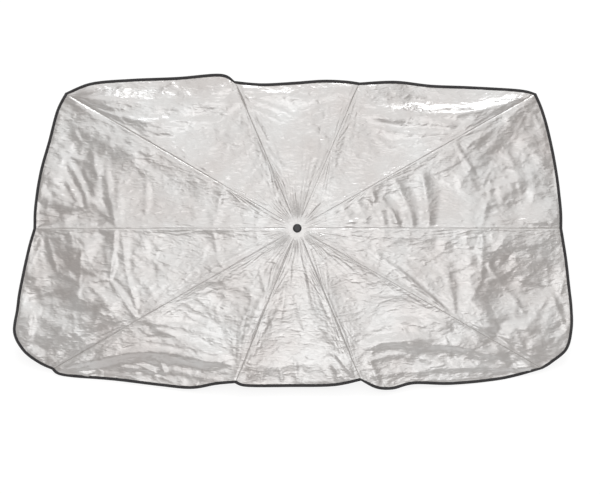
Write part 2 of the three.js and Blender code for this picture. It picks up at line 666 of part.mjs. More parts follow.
// Runner: a slotted flange that holds the stretchers' tongues, on a barrel with a finger rim
function runner() {
  const level = RUNNER_PIVOT_HEIGHT;
  const flangeTop = level + RUNNER_FLANGE_HEIGHT / 2;
  const flangeBottom = level - RUNNER_FLANGE_HEIGHT / 2;
  const bottom = flangeBottom - RUNNER_BARREL_LENGTH;
  let body = turned(
    [
      [RUNNER_BORE, bottom],
      [RUNNER_RIM_RADIUS - RUNNER_CHAMFER, bottom],
      [RUNNER_RIM_RADIUS, bottom + RUNNER_CHAMFER],
      [RUNNER_RIM_RADIUS, bottom + RUNNER_RIM_HEIGHT],
      [RUNNER_BARREL_RADIUS, bottom + RUNNER_RIM_HEIGHT + RUNNER_CHAMFER],
      [RUNNER_BARREL_RADIUS, flangeBottom],
      [RUNNER_FLANGE_RADIUS - RUNNER_CHAMFER, flangeBottom],
      [RUNNER_FLANGE_RADIUS, flangeBottom + RUNNER_CHAMFER],
      [RUNNER_FLANGE_RADIUS, flangeTop - RUNNER_CHAMFER],
      [RUNNER_FLANGE_RADIUS - RUNNER_CHAMFER, flangeTop],
      [RUNNER_BORE, flangeTop],
      [RUNNER_BORE, bottom],
    ],
    24,
  );
  const half = TONGUE_WIDTH / 2 + CLEARANCE;
  const slotInner = RUNNER_PIVOT_RADIUS - CHANNEL_HEIGHT / 2 - CLEARANCE;
  for (const rib of RIBS) {
    const slot = block(slotInner, RUNNER_FLANGE_RADIUS + 1, -half, half, flangeBottom - 1, flangeTop + 1);
    body = body.subtract(slot.rotate([0, 0, rib.azimuth]));
  }
  return body;
}

// Handle grip: a waisted sleeve with finger grooves, bored for the lower tube and the end plug
function handleGrip() {
  const bore = LOWER_TUBE_RADIUS + CLEARANCE;
  const boreBottom = LOWER_TUBE_TOP - LOWER_TUBE_LENGTH - CLEARANCE;
  const plugBore = END_PLUG_RADIUS + CLEARANCE;
  const bottom = HANDLE_TOP - GRIP_LENGTH;
  const plugTop = bottom + END_PLUG_LENGTH + CLEARANCE;
  const outline = [
    [bore, HANDLE_TOP],
    [GRIP_NECK_RADIUS, HANDLE_TOP],
    [GRIP_NECK_RADIUS + GRIP_NECK_EDGE, HANDLE_TOP - GRIP_NECK_EDGE],
    [GRIP_RADIUS - GRIP_GROOVE_DEPTH, HANDLE_TOP - GRIP_SHOULDER + GRIP_SHOULDER_BEND],
    [GRIP_RADIUS, HANDLE_TOP - GRIP_SHOULDER],
  ];
  const pitch = (GRIP_LENGTH - GRIP_SHOULDER - GRIP_FOOT) / GRIP_GROOVES;
  for (let groove = 0; groove < GRIP_GROOVES; groove++) {
    const start = HANDLE_TOP - GRIP_SHOULDER - groove * pitch;
    outline.push([GRIP_RADIUS, start - pitch * 0.4]);
    outline.push([GRIP_RADIUS - GRIP_GROOVE_DEPTH, start - pitch * 0.7]);
    outline.push([GRIP_RADIUS, start - pitch]);
  }
  outline.push(
    [END_CAP_RADIUS, bottom + GRIP_FOOT_EDGE],
    [END_CAP_RADIUS, bottom],
    [plugBore, bottom],
    [plugBore, plugTop],
    [0, plugTop],
    [0, boreBottom],
    [bore, boreBottom],
    [bore, HANDLE_TOP],
  );
  return turned(outline.reverse(), 24);
}

function handleEndCap() {
  const top = HANDLE_TOP - GRIP_LENGTH - CLEARANCE;
  const bottom = top - END_CAP_HEIGHT;
  return turned(
    [
      [0, bottom],
      [END_CAP_RADIUS - END_CAP_CHAMFER, bottom],
      [END_CAP_RADIUS, bottom + END_CAP_CHAMFER],
      [END_CAP_RADIUS, top],
      [END_PLUG_RADIUS, top],
      [END_PLUG_RADIUS - END_PLUG_TAPER, top + END_PLUG_LENGTH],
      [0, top + END_PLUG_LENGTH],
    ],
    24,
  );
}

// One folding rib with its stretcher, each piece in a group that sits on the pivot it turns about
function ribAssembly(rib, number) {
  const radial = new THREE.Group();
  radial.rotation.z = radians(rib.azimuth);
  const inner = new THREE.Group();
  inner.position.set(CROWN_PIVOT_RADIUS, 0, 0);
  inner.rotation.y = radians(INNER_SLOPE);
  inner.add(namedMesh(`inner_rib_${number}`, innerRib(), steel));
  radial.add(inner);

  const strut = new THREE.Group();
  strut.position.set(stretcherJointAlong, 0, 0);
  strut.rotation.y = Math.PI - stretcherAngle - radians(INNER_SLOPE);
  strut.add(namedMesh(`stretcher_${number}`, stretcher(), steel));
  inner.add(strut);

  const second = new THREE.Group();
  second.position.set(innerLength, 0, PIVOT_OFFSET);
  second.rotation.y = radians(MIDDLE_SLOPE - INNER_SLOPE);
  inner.add(second);

  const tipRadius = rib.reach - (BINDING_WIDTH + CLEARANCE) * BINDING_WIDENING_AT_RIBS;
  if (!rib.long) {
    const length = (tipRadius - SECOND_JOINT_RADIUS) / Math.cos(radians(MIDDLE_SLOPE));
    second.add(namedMesh(`end_rib_${number}`, endRib(length, -PIVOT_OFFSET), fibreglass));
    return radial;
  }
  second.add(namedMesh(`middle_rib_${number}`, middleRib(), fibreglass));
  const third = new THREE.Group();
  third.position.set(middleLength, 0, -2 * PIVOT_OFFSET);
  third.rotation.y = radians(OUTER_SLOPE - MIDDLE_SLOPE);
  const length = (tipRadius - THIRD_JOINT_RADIUS) / Math.cos(radians(OUTER_SLOPE));
  third.add(namedMesh(`end_rib_${number}`, endRib(length, PIVOT_OFFSET), fibreglass));
  second.add(third);
  return radial;
}

function sunshade() {
  const shade = new THREE.Group();
  shade.add(
    namedMesh("cap", cap(), blackPlastic),
    namedMesh("crown", crown(), blackPlastic),
    namedMesh("crown_ring_wire", ringWire(), bright),
    namedMesh("upper_tube", upperTube(), bright),
    namedMesh("spring_catch", springCatch(), bright),
    namedMesh("lower_tube", lowerTube(), bright),
    namedMesh("runner", runner(), blackPlastic),
    namedMesh("handle_grip", handleGrip(), gripRubber),
    namedMesh("handle_end_cap", handleEndCap(), blackPlastic),
    namedMesh("edge_binding", bindingGeometry(), darkTape),
  );
  RIBS.forEach((rib, i) => {
    shade.add(ribAssembly(rib, i + 1));
    shade.add(namedMesh(`canopy_gore_${i + 1}`, goreGeometry(i), silver));
  });
  return shade;
}

// The open shade lies on its hem and on the rim of the handle: this is the angle at which the first
// point of the hem comes down to the floor
function restingTilt() {
  const handleBottom = HANDLE_TOP - GRIP_LENGTH - CLEARANCE - END_CAP_HEIGHT;
  const footRadius = END_CAP_RADIUS - END_CAP_CHAMFER;
  let tilt = Math.PI / 2;
  RIBS.forEach((rib, i) => {
    const curve = hemCurves[i];
    for (let step = 0; step < BINDING_STEPS; step++) {
      const t = step / BINDING_STEPS;
      const hem = curve.getPointAt(t);
      const reach = -hem.y - footRadius;
      const drop = clothHeight(i, t, 1) - BINDING_THICKNESS / 2 - handleBottom;
      if (reach > 0) tilt = Math.min(tilt, Math.atan2(drop, reach));
    }
  });
  return tilt;
}

const shade = sunshade();
const resting = new THREE.Group();
shade.rotation.x = restingTilt();
resting.add(shade);
resting.updateMatrixWorld(true);
const bounds = new THREE.Box3().setFromObject(resting, true);
const middle = bounds.getCenter(new THREE.Vector3());
shade.position.set(-middle.x, -middle.y, -bounds.min.z);

export default resting;
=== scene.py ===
import json
import math
import bpy
import numpy as np
from mathutils import Matrix, Vector


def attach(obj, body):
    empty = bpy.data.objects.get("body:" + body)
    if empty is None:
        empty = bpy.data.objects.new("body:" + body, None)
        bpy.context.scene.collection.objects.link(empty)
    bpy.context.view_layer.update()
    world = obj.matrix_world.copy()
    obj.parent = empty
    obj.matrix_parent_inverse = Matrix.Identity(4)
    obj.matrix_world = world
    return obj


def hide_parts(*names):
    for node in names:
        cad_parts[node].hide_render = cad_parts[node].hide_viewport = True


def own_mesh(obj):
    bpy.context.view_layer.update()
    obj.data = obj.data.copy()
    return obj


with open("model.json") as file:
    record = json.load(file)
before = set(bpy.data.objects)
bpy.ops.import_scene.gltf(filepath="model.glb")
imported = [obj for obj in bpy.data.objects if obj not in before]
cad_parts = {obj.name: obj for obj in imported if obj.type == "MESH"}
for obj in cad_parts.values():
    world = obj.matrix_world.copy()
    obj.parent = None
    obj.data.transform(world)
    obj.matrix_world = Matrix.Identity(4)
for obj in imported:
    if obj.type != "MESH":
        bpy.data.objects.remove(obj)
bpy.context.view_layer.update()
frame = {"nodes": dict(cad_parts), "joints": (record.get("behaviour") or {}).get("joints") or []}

MM = 0.001
MM2 = 1e-6
joints = {j["name"]: j for j in frame["joints"]}

# Distance of the ribs' joints from the shaft, in mm, as in the solids
CROWN_R, SECOND, THIRD = 11.0, 212.0, 460.0

# The shade's own frame: origin at the crown, z along the shaft, y towards the upper edge
AXIS_X = np.array([1.0, 0.0, 0.0])
AXIS_Z = -np.array(joints["runner_slide"]["axis"], float)
AXIS_Z /= np.linalg.norm(AXIS_Z)
AXIS_Y = np.cross(AXIS_Z, AXIS_X)
ORIGIN = np.array(joints["inner_rib_1_fold"]["pos_m"], float) - CROWN_R * MM * AXIS_X


def turn(direction):
    """A direction in the shade's frame, in the row frame."""
    d = np.asarray(direction, float)
    return d[..., 0:1] * AXIS_X + d[..., 1:2] * AXIS_Y + d[..., 2:3] * AXIS_Z


def to_row(points):
    """Points in the shade's frame, in millimetres, to the row frame in metres."""
    return ORIGIN + turn(np.asarray(points, float) * MM)


# The canopy's plan, as in the solids. The reach is the distance from the shaft to the tip of rib 1, in mm
REACH = 676.0
# Each rib's direction in degrees, its length as a share of the reach, and whether it has a middle rib
RIB_PLAN = [
    (0.0, 1.0, True), (29.5, 1.037, True), (66.8, 0.593, False), (113.0, 0.598, False),
    (149.7, 1.015, True), (180.0, 0.996, True), (209.8, 1.071, True), (248.0, 0.624, False),
    (292.7, 0.617, False), (330.2, 1.068, True),
]
RIBS = [(azimuth, share * REACH, long) for azimuth, share, long in RIB_PLAN]
GORES = len(RIBS)
# Bows of each gore's hem: place along its chord, and distance out from it in thousandths of the reach
HEM_BOWS = [
    [(0.14, 13), (0.4, 24), (0.67, 24), (0.87, 15)],
    [(0.1, 12), (0.39, 12), (0.6, 9), (0.8, 15)],
    [(0.12, 7), (0.3, 9), (0.54, 0), (0.79, -7)],
    [(0.08, 31), (0.33, 31), (0.6, 36), (0.84, 33)],
    [(0.14, 18), (0.36, 22), (0.6, 27), (0.85, 16)],
    [(0.13, 31), (0.4, 83), (0.55, 105), (0.71, 127), (0.85, 99), (0.95, 44)],
    [(0.07, 22), (0.35, 25), (0.6, 33), (0.77, 34), (0.9, 12)],
    [(0.1, 15), (0.45, 19), (0.78, 19)],
    [(0.08, 33), (0.17, 41), (0.29, 27), (0.5, 38), (0.78, 30)],
    [(0.05, 33), (0.16, 84), (0.31, 93), (0.46, 81), (0.6, 62), (0.8, 34)],
]
# The rib that carries each gore when the shade folds
CARRIERS = [1, 1, 2, 4, 4, 6, 6, 7, 9, 9]
# Slopes of a rib's inner, middle and outer segment
IN_SLOPE, MID_SLOPE, OUT_SLOPE = (math.radians(a) for a in (2.5, 5.5, 10.0))
# Height of the cloth above a rib's line and above its tip, and of the joints' pins off that line, in mm
ABOVE, ABOVE_TIP, OFFSET = 5.3, 4.9, 2.0
IN_LEN = (SECOND - CROWN_R - OFFSET * math.sin(IN_SLOPE)) / math.cos(IN_SLOPE)
SECOND_Z = OFFSET * math.cos(IN_SLOPE) - IN_LEN * math.sin(IN_SLOPE)
MID_LEN = (THIRD - SECOND + 2 * OFFSET * math.sin(MID_SLOPE)) / math.cos(MID_SLOPE)
THIRD_Z = SECOND_Z - MID_LEN * math.sin(MID_SLOPE) - 2 * OFFSET * math.cos(MID_SLOPE)
# Radius of the hole under the cap, width of the tape, and how far inside the hem the cloth ends, in mm
HOLE, BIND, HEM_IN = 4.2, 7.6, 4.0


def rib_height(rib, r):
    """Height of the cloth over a rib, at distances r from the shaft."""
    _, reach, long = rib
    second = SECOND_Z - OFFSET + ABOVE
    third = THIRD_Z + OFFSET + ABOVE
    last_r, last_z = (THIRD, third) if long else (SECOND, second)
    slope = OUT_SLOPE if long else MID_SLOPE
    inner = ABOVE + (second - ABOVE) * (r - CROWN_R) / (SECOND - CROWN_R)
    middle = second + (third - second) * (r - SECOND) / (THIRD - SECOND)
    beyond = r - last_r
    lower = (ABOVE - ABOVE_TIP) * np.minimum(1, beyond / (reach - last_r))
    outer = last_z - beyond * math.tan(slope) - lower
    z = np.where(r <= CROWN_R, ABOVE, inner)
    z = np.where((r > SECOND) & (r <= last_r), middle, z)
    return np.where(r > last_r, outer, z)


def spline(points, n=900):
    """The same smooth curve as in the solids, sampled evenly along its length."""
    p = np.array(points, float)
    last = len(p) - 1
    out = []
    for k in np.linspace(0, last, n):
        i = min(int(k), last - 1)
        f = k - i
        p0, p1, p2, p3 = p[max(i - 1, 0)], p[i], p[i + 1], p[min(i + 2, last)]
        v0, v1 = (p2 - p0) / 2, (p3 - p1) / 2
        cubic, square = 2 * p1 - 2 * p2 + v0 + v1, -3 * p1 + 3 * p2 - 2 * v0 - v1
        out.append(cubic * f**3 + square * f**2 + v0 * f + p1)
    out = np.array(out)
    run = np.r_[0, np.cumsum(np.linalg.norm(np.diff(out, axis=0), axis=1))]
    return out, run / run[-1]


def tip(i):
    """Place of a rib's tip in the plan."""
    azimuth, reach, _ = RIBS[i % GORES]
    return reach * np.array([math.cos(math.radians(azimuth)), math.sin(math.radians(azimuth))])


def hem_curve(i):
    """Gore i's hem in the plan, from its first rib's tip to the next."""
    a, b = tip(i), tip(i + 1)
    chord = b - a
    out = np.array([chord[1], -chord[0]]) / np.linalg.norm(chord)
    return spline([a] + [a + s * chord + w / 1000 * REACH * out for s, w in HEM_BOWS[i]] + [b])


HEMS = [hem_curve(i) for i in range(GORES)]


def hem_at(i, t):
    """Places on gore i's hem in the plan, at shares t of its length."""
    pts, run = HEMS[i]
    return np.stack([np.interp(t, run, pts[:, 0]), np.interp(t, run, pts[:, 1])], -1)


def hem_slant(i, t):
    """How square the hem runs to the line from the crown: 1 where it is square to it."""
    hem = hem_at(i, t)
    along = np.gradient(hem, axis=0)
    along /= np.linalg.norm(along, axis=1)[:, None]
    out = hem / np.linalg.norm(hem, axis=1)[:, None]
    return np.maximum(0.5, np.abs(out[:, 0] * along[:, 1] - out[:, 1] * along[:, 0]))


# Noise
HASH_BITS, DRAWS = 0x7FFFFFFF, 0xFFFF
SKEW = (math.sqrt(3) - 1) / 2


def drawn(i, j, seed):
    """A fixed random whole number from 0 to 65535 for each place on a grid."""
    h = (i * 374761393 + j * 668265263 + seed * 1442695041) & HASH_BITS
    h = (h ^ (h >> 13)) * 1274126177 & HASH_BITS
    return (h ^ (h >> 16)) & DRAWS


def lattice(x, y, seed):
    """Smooth gradient noise, about -0.7 to 0.7."""
    xi, yi = np.floor(x).astype(int), np.floor(y).astype(int)
    xf, yf = x - xi, y - yi
    u, v = xf**3 * (xf * (xf * 6 - 15) + 10), yf**3 * (yf * (yf * 6 - 15) + 10)

    def corner(dx, dy):
        angle = drawn(xi + dx, yi + dy, seed) / (DRAWS + 1) * 2 * math.pi
        return np.cos(angle) * (xf - dx) + np.sin(angle) * (yf - dy)

    top = corner(0, 0) * (1 - u) + corner(1, 0) * u
    bottom = corner(0, 1) * (1 - u) + corner(1, 1) * u
    return top * (1 - v) + bottom * v


def drawn_out(x, y, size, stretch, angle):
    """Places in units of size, which are longer by stretch in the direction of angle."""
    c, s = math.cos(angle), math.sin(angle)
    return (x * c + y * s) / (size * stretch), (-x * s + y * c) / size


def crests(noise, sharpness):
    """Sharp crests where the noise passes zero."""
    return 0.5 - np.abs(noise) * sharpness


def ridged(x, y, size, seed, stretch, angle):
    """Sharp-edged crumples of about that size."""
    along, across = drawn_out(x, y, size, stretch, angle)
    along = along + 0.35 * lattice(x / (size * 2.3), y / (size * 2.3), seed + 7)
    across = across + 0.35 * lattice(x / (size * 1.9) + 9, y / (size * 1.9), seed + 8)
    return crests(lattice(along, across, seed), 2.2)


def veins(x, y, size, seed, stretch, angle):
    """Thin creases, 0 to 1, that wander over the sheet."""
    along, across = drawn_out(x, y, size, stretch, angle)
    bent = 0.3 * lattice(along * 1.7 + 5, across * 1.7, seed + 3)
    return np.exp(-np.abs(lattice(along + bent, across - bent, seed)) / 0.055)


def facets(x, y, size, seed, stretch, angle, warp=0.55):
    """A crumpled sheet: flat triangles of about that size, with sharp creases between them."""
    a, b = drawn_out(x, y, size, stretch, angle)
    wa, wb = lattice(a * 0.8, b * 0.8, seed + 1), lattice(a * 0.8 + 31, b * 0.8, seed + 2)
    a, b = a + warp * wa, b + warp * wb
    skew = (a + b) * SKEW
    a, b = a + skew, b + skew
    i, j = np.floor(a).astype(int), np.floor(b).astype(int)
    u, v = a - i, b - j

    def height(di, dj):
        return drawn(i + di, j + dj, seed) / (DRAWS / 2) - 1

    corner, across, right, up = height(0, 0), height(1, 1), height(1, 0), height(0, 1)
    one = corner + (right - corner) * u + (across - right) * v
    other = corner + (up - corner) * v + (across - up) * u
    return np.where(u > v, one, other)


# The crown's place in the picture in pixels, and millimetres to a pixel
CROWN_U, CROWN_V, MM_PER_PX = 296.5, 228.0, 2.55


def px(u, v):
    """A place in the picture, in the shade's frame."""
    return np.array([(u - CROWN_U) * MM_PER_PX, (CROWN_V - v) * MM_PER_PX])


# Folds: from and to, as places in the picture; height and half width in mm; bend in mm
FOLDS = [
    # polygon of creases at the stretcher joints
    (255.7, 228, 261, 207, 1.8, 4, 0), (261, 207, 280.5, 190, 1.2, 4, 0), (255.7, 228, 260, 248, 1.8, 4, 0),
    (260, 248, 281, 266, 1.4, 4, 0), (332, 248, 336, 230, 1.0, 4, 0), (281, 266, 312, 266, 0.9, 4, 0),
    (332, 208, 337, 226, 1.4, 5, 0), (313, 266, 331, 249, 1.2, 4, 0),
    # polygon at the second joints
    (225, 186, 219, 205, 2.6, 4, 0), (219, 205, 213.5, 228, 1.8, 4, 3), (213.5, 228, 217, 246, 2.0, 4, 0),
    (217, 246, 224.5, 268, 1.8, 4, -4), (369, 187, 372, 207, 2.2, 5, 3), (372, 207, 381, 226, 2.0, 5, 0),
    (265, 303, 297, 296, 0.8, 5, 0), (369, 268, 377, 246, 1.4, 5, 0), (328, 304, 297, 296, 0.8, 5, 0),
    (224, 270, 240, 290, 1.0, 5, 3), (240, 290, 264, 302, 1.0, 5, 0),
    # outer polygon at the third joints
    (116.7, 229, 110.4, 277.4, 3.6, 4, 0), (110.4, 277.4, 138, 318, 4.2, 4, 0),
    (122, 232, 127, 271, 2.2, 4, 2),
    (127, 271, 137, 307, 2.6, 4, 0), (117, 227, 107, 167, 4.0, 6, 4), (121, 226, 118, 178, 1.8, 4, 0),
    (147, 180, 146, 215, 2.2, 4, 2), (451, 140, 474, 177, 3.2, 3, 0), (474, 177, 489, 182, 1.2, 4, 0),
    (489, 180, 478, 228, 2.4, 5, 3), (480, 230, 481, 277, 2.4, 3, 0), (481, 277, 466, 300, 1.4, 5, 0),
    # left side, above the left rib
    (66, 181, 82, 208, 4.6, 4, 0), (69, 162, 88, 204, 3.6, 5, 2), (84, 170, 108, 214, 3.4, 5, -3),
    (48, 175, 62, 190, 2.4, 5, 0), (40, 203, 82, 209, 2.8, 6, 2), (52, 190, 80, 207, 2.2, 4, 0),
    (82, 190, 112, 222, 2.6, 4, 0), (60, 155, 98, 168, 2.2, 5, 3),
    (54, 150, 84, 152, 1.8, 5, 0), (93, 150, 100, 196, 2.2, 5, 0),
    # left side, below the left rib
    (79.4, 279.3, 82, 249, 3.6, 4, 1), (79.4, 279.3, 56, 268, 3.0, 4, 0), (56, 268, 47, 236, 3.4, 5, 0),
    (79.4, 279.3, 20, 297, 3.4, 4, -2), (57, 270, 28, 273, 2.4, 4, 0), (79.4, 279.3, 77, 300, 2.6, 5, 0),
    (79.4, 279.3, 110, 277, 2.8, 4, 3), (90, 283, 112, 305, 2.4, 4, 0), (66, 244, 84, 247, 2.6, 4, 0),
    (40, 240, 30, 262, 2.6, 6, 0), (22, 284, 30, 305, 2.2, 5, 0), (30, 310, 26, 345, 2.4, 4, 0),
    (64, 320, 46, 347, 2.4, 4, 2), (62, 312, 90, 318, 2.4, 4, 0), (38, 300, 74, 303, 2.0, 5, 2),
    (110, 278, 92, 290, 2.4, 5, 0), (84, 306, 116, 300, 2.0, 5, 2),
    # fans to the corners
    (66, 95, 141, 136, 2.6, 4, 3), (66, 95, 138, 134, 2.0, 3, -5), (66, 95, 116, 128, 2.6, 6, 0),
    (66, 95, 100, 124, 2.4, 7, 5), (533, 96, 456, 138, 2.0, 3, 4), (533, 96, 460, 150, 2.2, 7, 4),
    (533, 96, 478, 158, 1.6, 7, 0), (53, 367, 137, 320, 3.0, 4, 8), (53, 367, 120, 325, 2.4, 4, 14),
    (53, 367, 132, 323, 2.0, 3, -3), (540, 366, 456, 320, 2.2, 3, -4), (540, 366, 470, 322, 1.8, 4, -12),
    (540, 366, 480, 321, 1.8, 5, -18),
    # upper left gore, folds along the hem
    (68, 96, 230, 104, 6.5, 13, 14), (70, 98, 206, 108, 3.0, 5, 10), (75, 99, 215, 118, 5.5, 11, -8),
    (100, 112, 190, 124, 3.2, 7, -6), (144, 122, 205, 108, 2.6, 4, 3), (150, 130, 178, 133, 2.6, 4, 0),
    (147, 136, 178, 128, 2.2, 3, 0), (170, 82, 232, 90, 4.5, 8, 4), (180, 80, 200, 96, 2.0, 5, 0),
    # upper right gore, folds along the hem
    (362, 94, 412, 97, 4.0, 5, 0), (362, 103, 470, 107, 6.5, 8, 4), (440, 108, 530, 97, 4.0, 7, -4),
    (362, 113, 450, 122, 5.5, 9, 6), (364, 124, 445, 132, 3.4, 6, 5), (366, 132, 382, 140, 2.4, 4, 0),
    (372, 142, 440, 137, 2.6, 5, 3), (390, 126, 420, 131, 2.2, 3, 0), (412, 96, 420, 92, 2.6, 4, 0),
    # upper middle gore
    (243, 90, 300, 99, 3.8, 7, 2), (245, 98, 294, 117, 2.4, 4, 2), (250, 108, 280, 122, 2.2, 4, 2),
    (248, 100, 300, 92, 2.6, 5, 2), (262, 148, 285, 168, 1.8, 4, 0), (303, 93, 350, 88, 2.6, 6, 2),
    (300, 103, 345, 93, 2.0, 5, 0), (255, 118, 268, 142, 1.8, 3, 0),
    # puckers above the right rib
    (368, 188, 384, 227, 5.0, 6, 3), (378, 196, 396, 227, 6.5, 8, 4), (393, 180, 411, 227, 7.5, 9, 4),
    (420, 172, 427, 227, 7.0, 9, 2), (388, 208, 398, 227, 2.0, 3, 0), (340, 205, 352, 226, 3.0, 6, 0),
    (355, 200, 366, 226, 3.0, 6, 0), (383, 190, 420, 186, 1.8, 3, 0), (367, 191, 372, 206, 2.2, 4, 0),
    (340, 226, 372, 214, 2.0, 4, 3), (335, 222, 352, 212, 1.6, 4, 0), (352, 219, 372, 218, 1.6, 4, 0),
    # right side, above and below the right rib
    (484, 158, 512, 170, 2.4, 4, 2), (478, 195, 520, 178, 2.6, 5, 2), (505, 150, 520, 195, 2.8, 7, 3),
    (492, 178, 530, 172, 2.0, 4, 0), (500, 205, 548, 190, 2.2, 5, 2), (520, 190, 560, 198, 2.6, 6, 2),
    (515, 160, 556, 166, 2.0, 5, 0), (535, 116, 548, 150, 2.4, 6, 2), (484, 215, 545, 222, 3.0, 6, -2),
    (484, 250, 540, 242, 2.6, 5, 2), (484, 258, 526, 312, 2.4, 4, 0), (483, 262, 512, 274, 2.2, 4, 2),
    (490, 285, 540, 290, 2.6, 5, 4), (515, 275, 545, 282, 2.4, 4, 0), (545, 298, 525, 325, 2.8, 5, 0),
    (552, 290, 566, 325, 3.0, 4, 0), (470, 300, 505, 318, 2.4, 5, -3), (556, 340, 570, 320, 2.2, 5, 0),
    (478, 325, 540, 328, 2.6, 4, 4), (504, 318, 535, 326, 2.2, 4, 0), (566, 268, 560, 290, 2.6, 4, 0),
    # lower right, along the corner rib
    (380, 256, 451, 317, 3.0, 3, 4), (374, 250, 380, 258, 1.8, 4, 0), (392, 262, 450, 313, 1.8, 3, -2),
    (446, 268, 455, 318, 3.2, 6, 3), (372, 246, 442, 262, 1.6, 4, 3), (378, 236, 478, 244, 1.6, 5, 5),
    # lower left gore, billow along the hem
    (54, 367, 140, 359, 5.5, 8, -3), (130, 359, 190, 363, 6.0, 8, 2), (186, 364, 231, 361, 5.0, 8, -3),
    (148, 322, 233, 340, 3.4, 10, -8), (160, 333, 232, 357, 4.2, 6, -8), (150, 345, 228, 355, 2.8, 5, -6),
    (192, 320, 226, 335, 2.4, 4, 0), (70, 372, 120, 368, 2.8, 4, 0), (140, 372, 166, 381, 3.0, 4, 2),
    (168, 366, 176, 382, 2.6, 4, 0), (210, 378, 234, 370, 2.6, 4, 0), (130, 376, 150, 378, 2.0, 3, 0),
    # lower right gore, billow along the hem
    (362, 348, 430, 343, 5.0, 9, 4), (364, 332, 442, 322, 4.4, 12, 8), (360, 342, 420, 352, 3.0, 6, 3),
    (366, 358, 376, 382, 4.4, 4, 0), (368, 360, 396, 358, 3.4, 4, 2), (408, 362, 440, 372, 2.6, 4, 2),
    (420, 350, 470, 352, 2.6, 4, 2), (440, 340, 443, 366, 2.4, 4, 0), (506, 372, 540, 366, 3.0, 5, 2),
    (395, 330, 412, 366, 1.6, 3, 0), (500, 365, 512, 376, 2.4, 4, 0), (380, 322, 420, 330, 2.2, 4, 3),
    # lower middle gore
    (334, 352, 352, 374, 3.2, 4, 0), (330, 362, 348, 382, 2.6, 4, 0), (338, 380, 334, 366, 2.6, 4, 0),
    (247, 378, 252, 370, 2.4, 3, 0), (262, 379, 264, 368, 2.2, 3, 0), (283, 380, 280, 366, 2.0, 3, 0),
    (297, 382, 295, 358, 2.4, 4, 0), (304, 330, 296, 300, 1.4, 4, 0), (268.8, 297.5, 262, 270, 1.4, 3, 0),
    (268.8, 297.5, 283, 268, 1.4, 3, 0), (268.8, 297.5, 247, 288, 2.0, 3, 2),
    (268.8, 297.5, 300, 292, 1.2, 4, 2),
    (268.8, 297.5, 258, 322, 1.8, 4, -2), (250, 318, 264, 312, 1.6, 2.5, 0),
    (248, 326, 262, 318, 1.6, 2.5, 0),
]

# Billows: crest from and to, as places in the picture; height, half width above and below it, bend in mm
BILLOWS = [
    # upper gores: a crest near the hem, and the long slope below it
    (60, 96, 236, 96, 9, 34, 105, 6), (168, 90, 232, 91, 4, 16, 26, 0), (356, 112, 534, 97, 10, 40, 80, 4),
    (361, 95, 414, 94, -4, 20, 14, 0), (240, 97, 300, 100, 4, 20, 50, 0), (300, 94, 354, 92, 3, 20, 40, 0),
    # lower left gore: one long crest with a steep far side, then the strip at the hem
    (54, 365, 238, 365, 13, 105, 42, 12), (120, 377, 230, 380, 4, 14, 12, 0),
    # lower right gore
    (356, 344, 470, 350, 8, 75, 34, 5), (362, 377, 530, 371, 5, 36, 14, 0),
    (440, 340, 538, 366, 5, 50, 40, 0),
    # left side
    (30, 233, 66, 238, 7, 16, 110, 0), (22, 300, 78, 299, -7, 95, 60, 0), (66, 262, 112, 248, 4, 50, 40, 0),
    (36, 200, 62, 168, 6, 40, 50, 0), (70, 160, 110, 210, -5, 45, 45, 0), (50, 330, 100, 315, 5, 50, 45, 0),
    # right side
    (478, 284, 564, 283, -9, 105, 90, 0), (496, 196, 552, 178, 5, 60, 50, 0),
    (478, 250, 520, 236, 4, 40, 40, 0),
    (500, 330, 566, 318, 5, 40, 55, 0), (520, 130, 545, 170, 4, 50, 40, 0), (488, 224, 556, 225, 3, 24, 3, 0),
    # lower middle gore
    (246, 366, 300, 364, 4, 70, 30, 0), (300, 362, 352, 368, 4, 60, 30, 0),
    (312, 268, 352, 372, 5, 50, 40, 0),
    (262, 300, 250, 372, 3, 40, 40, 0),
]

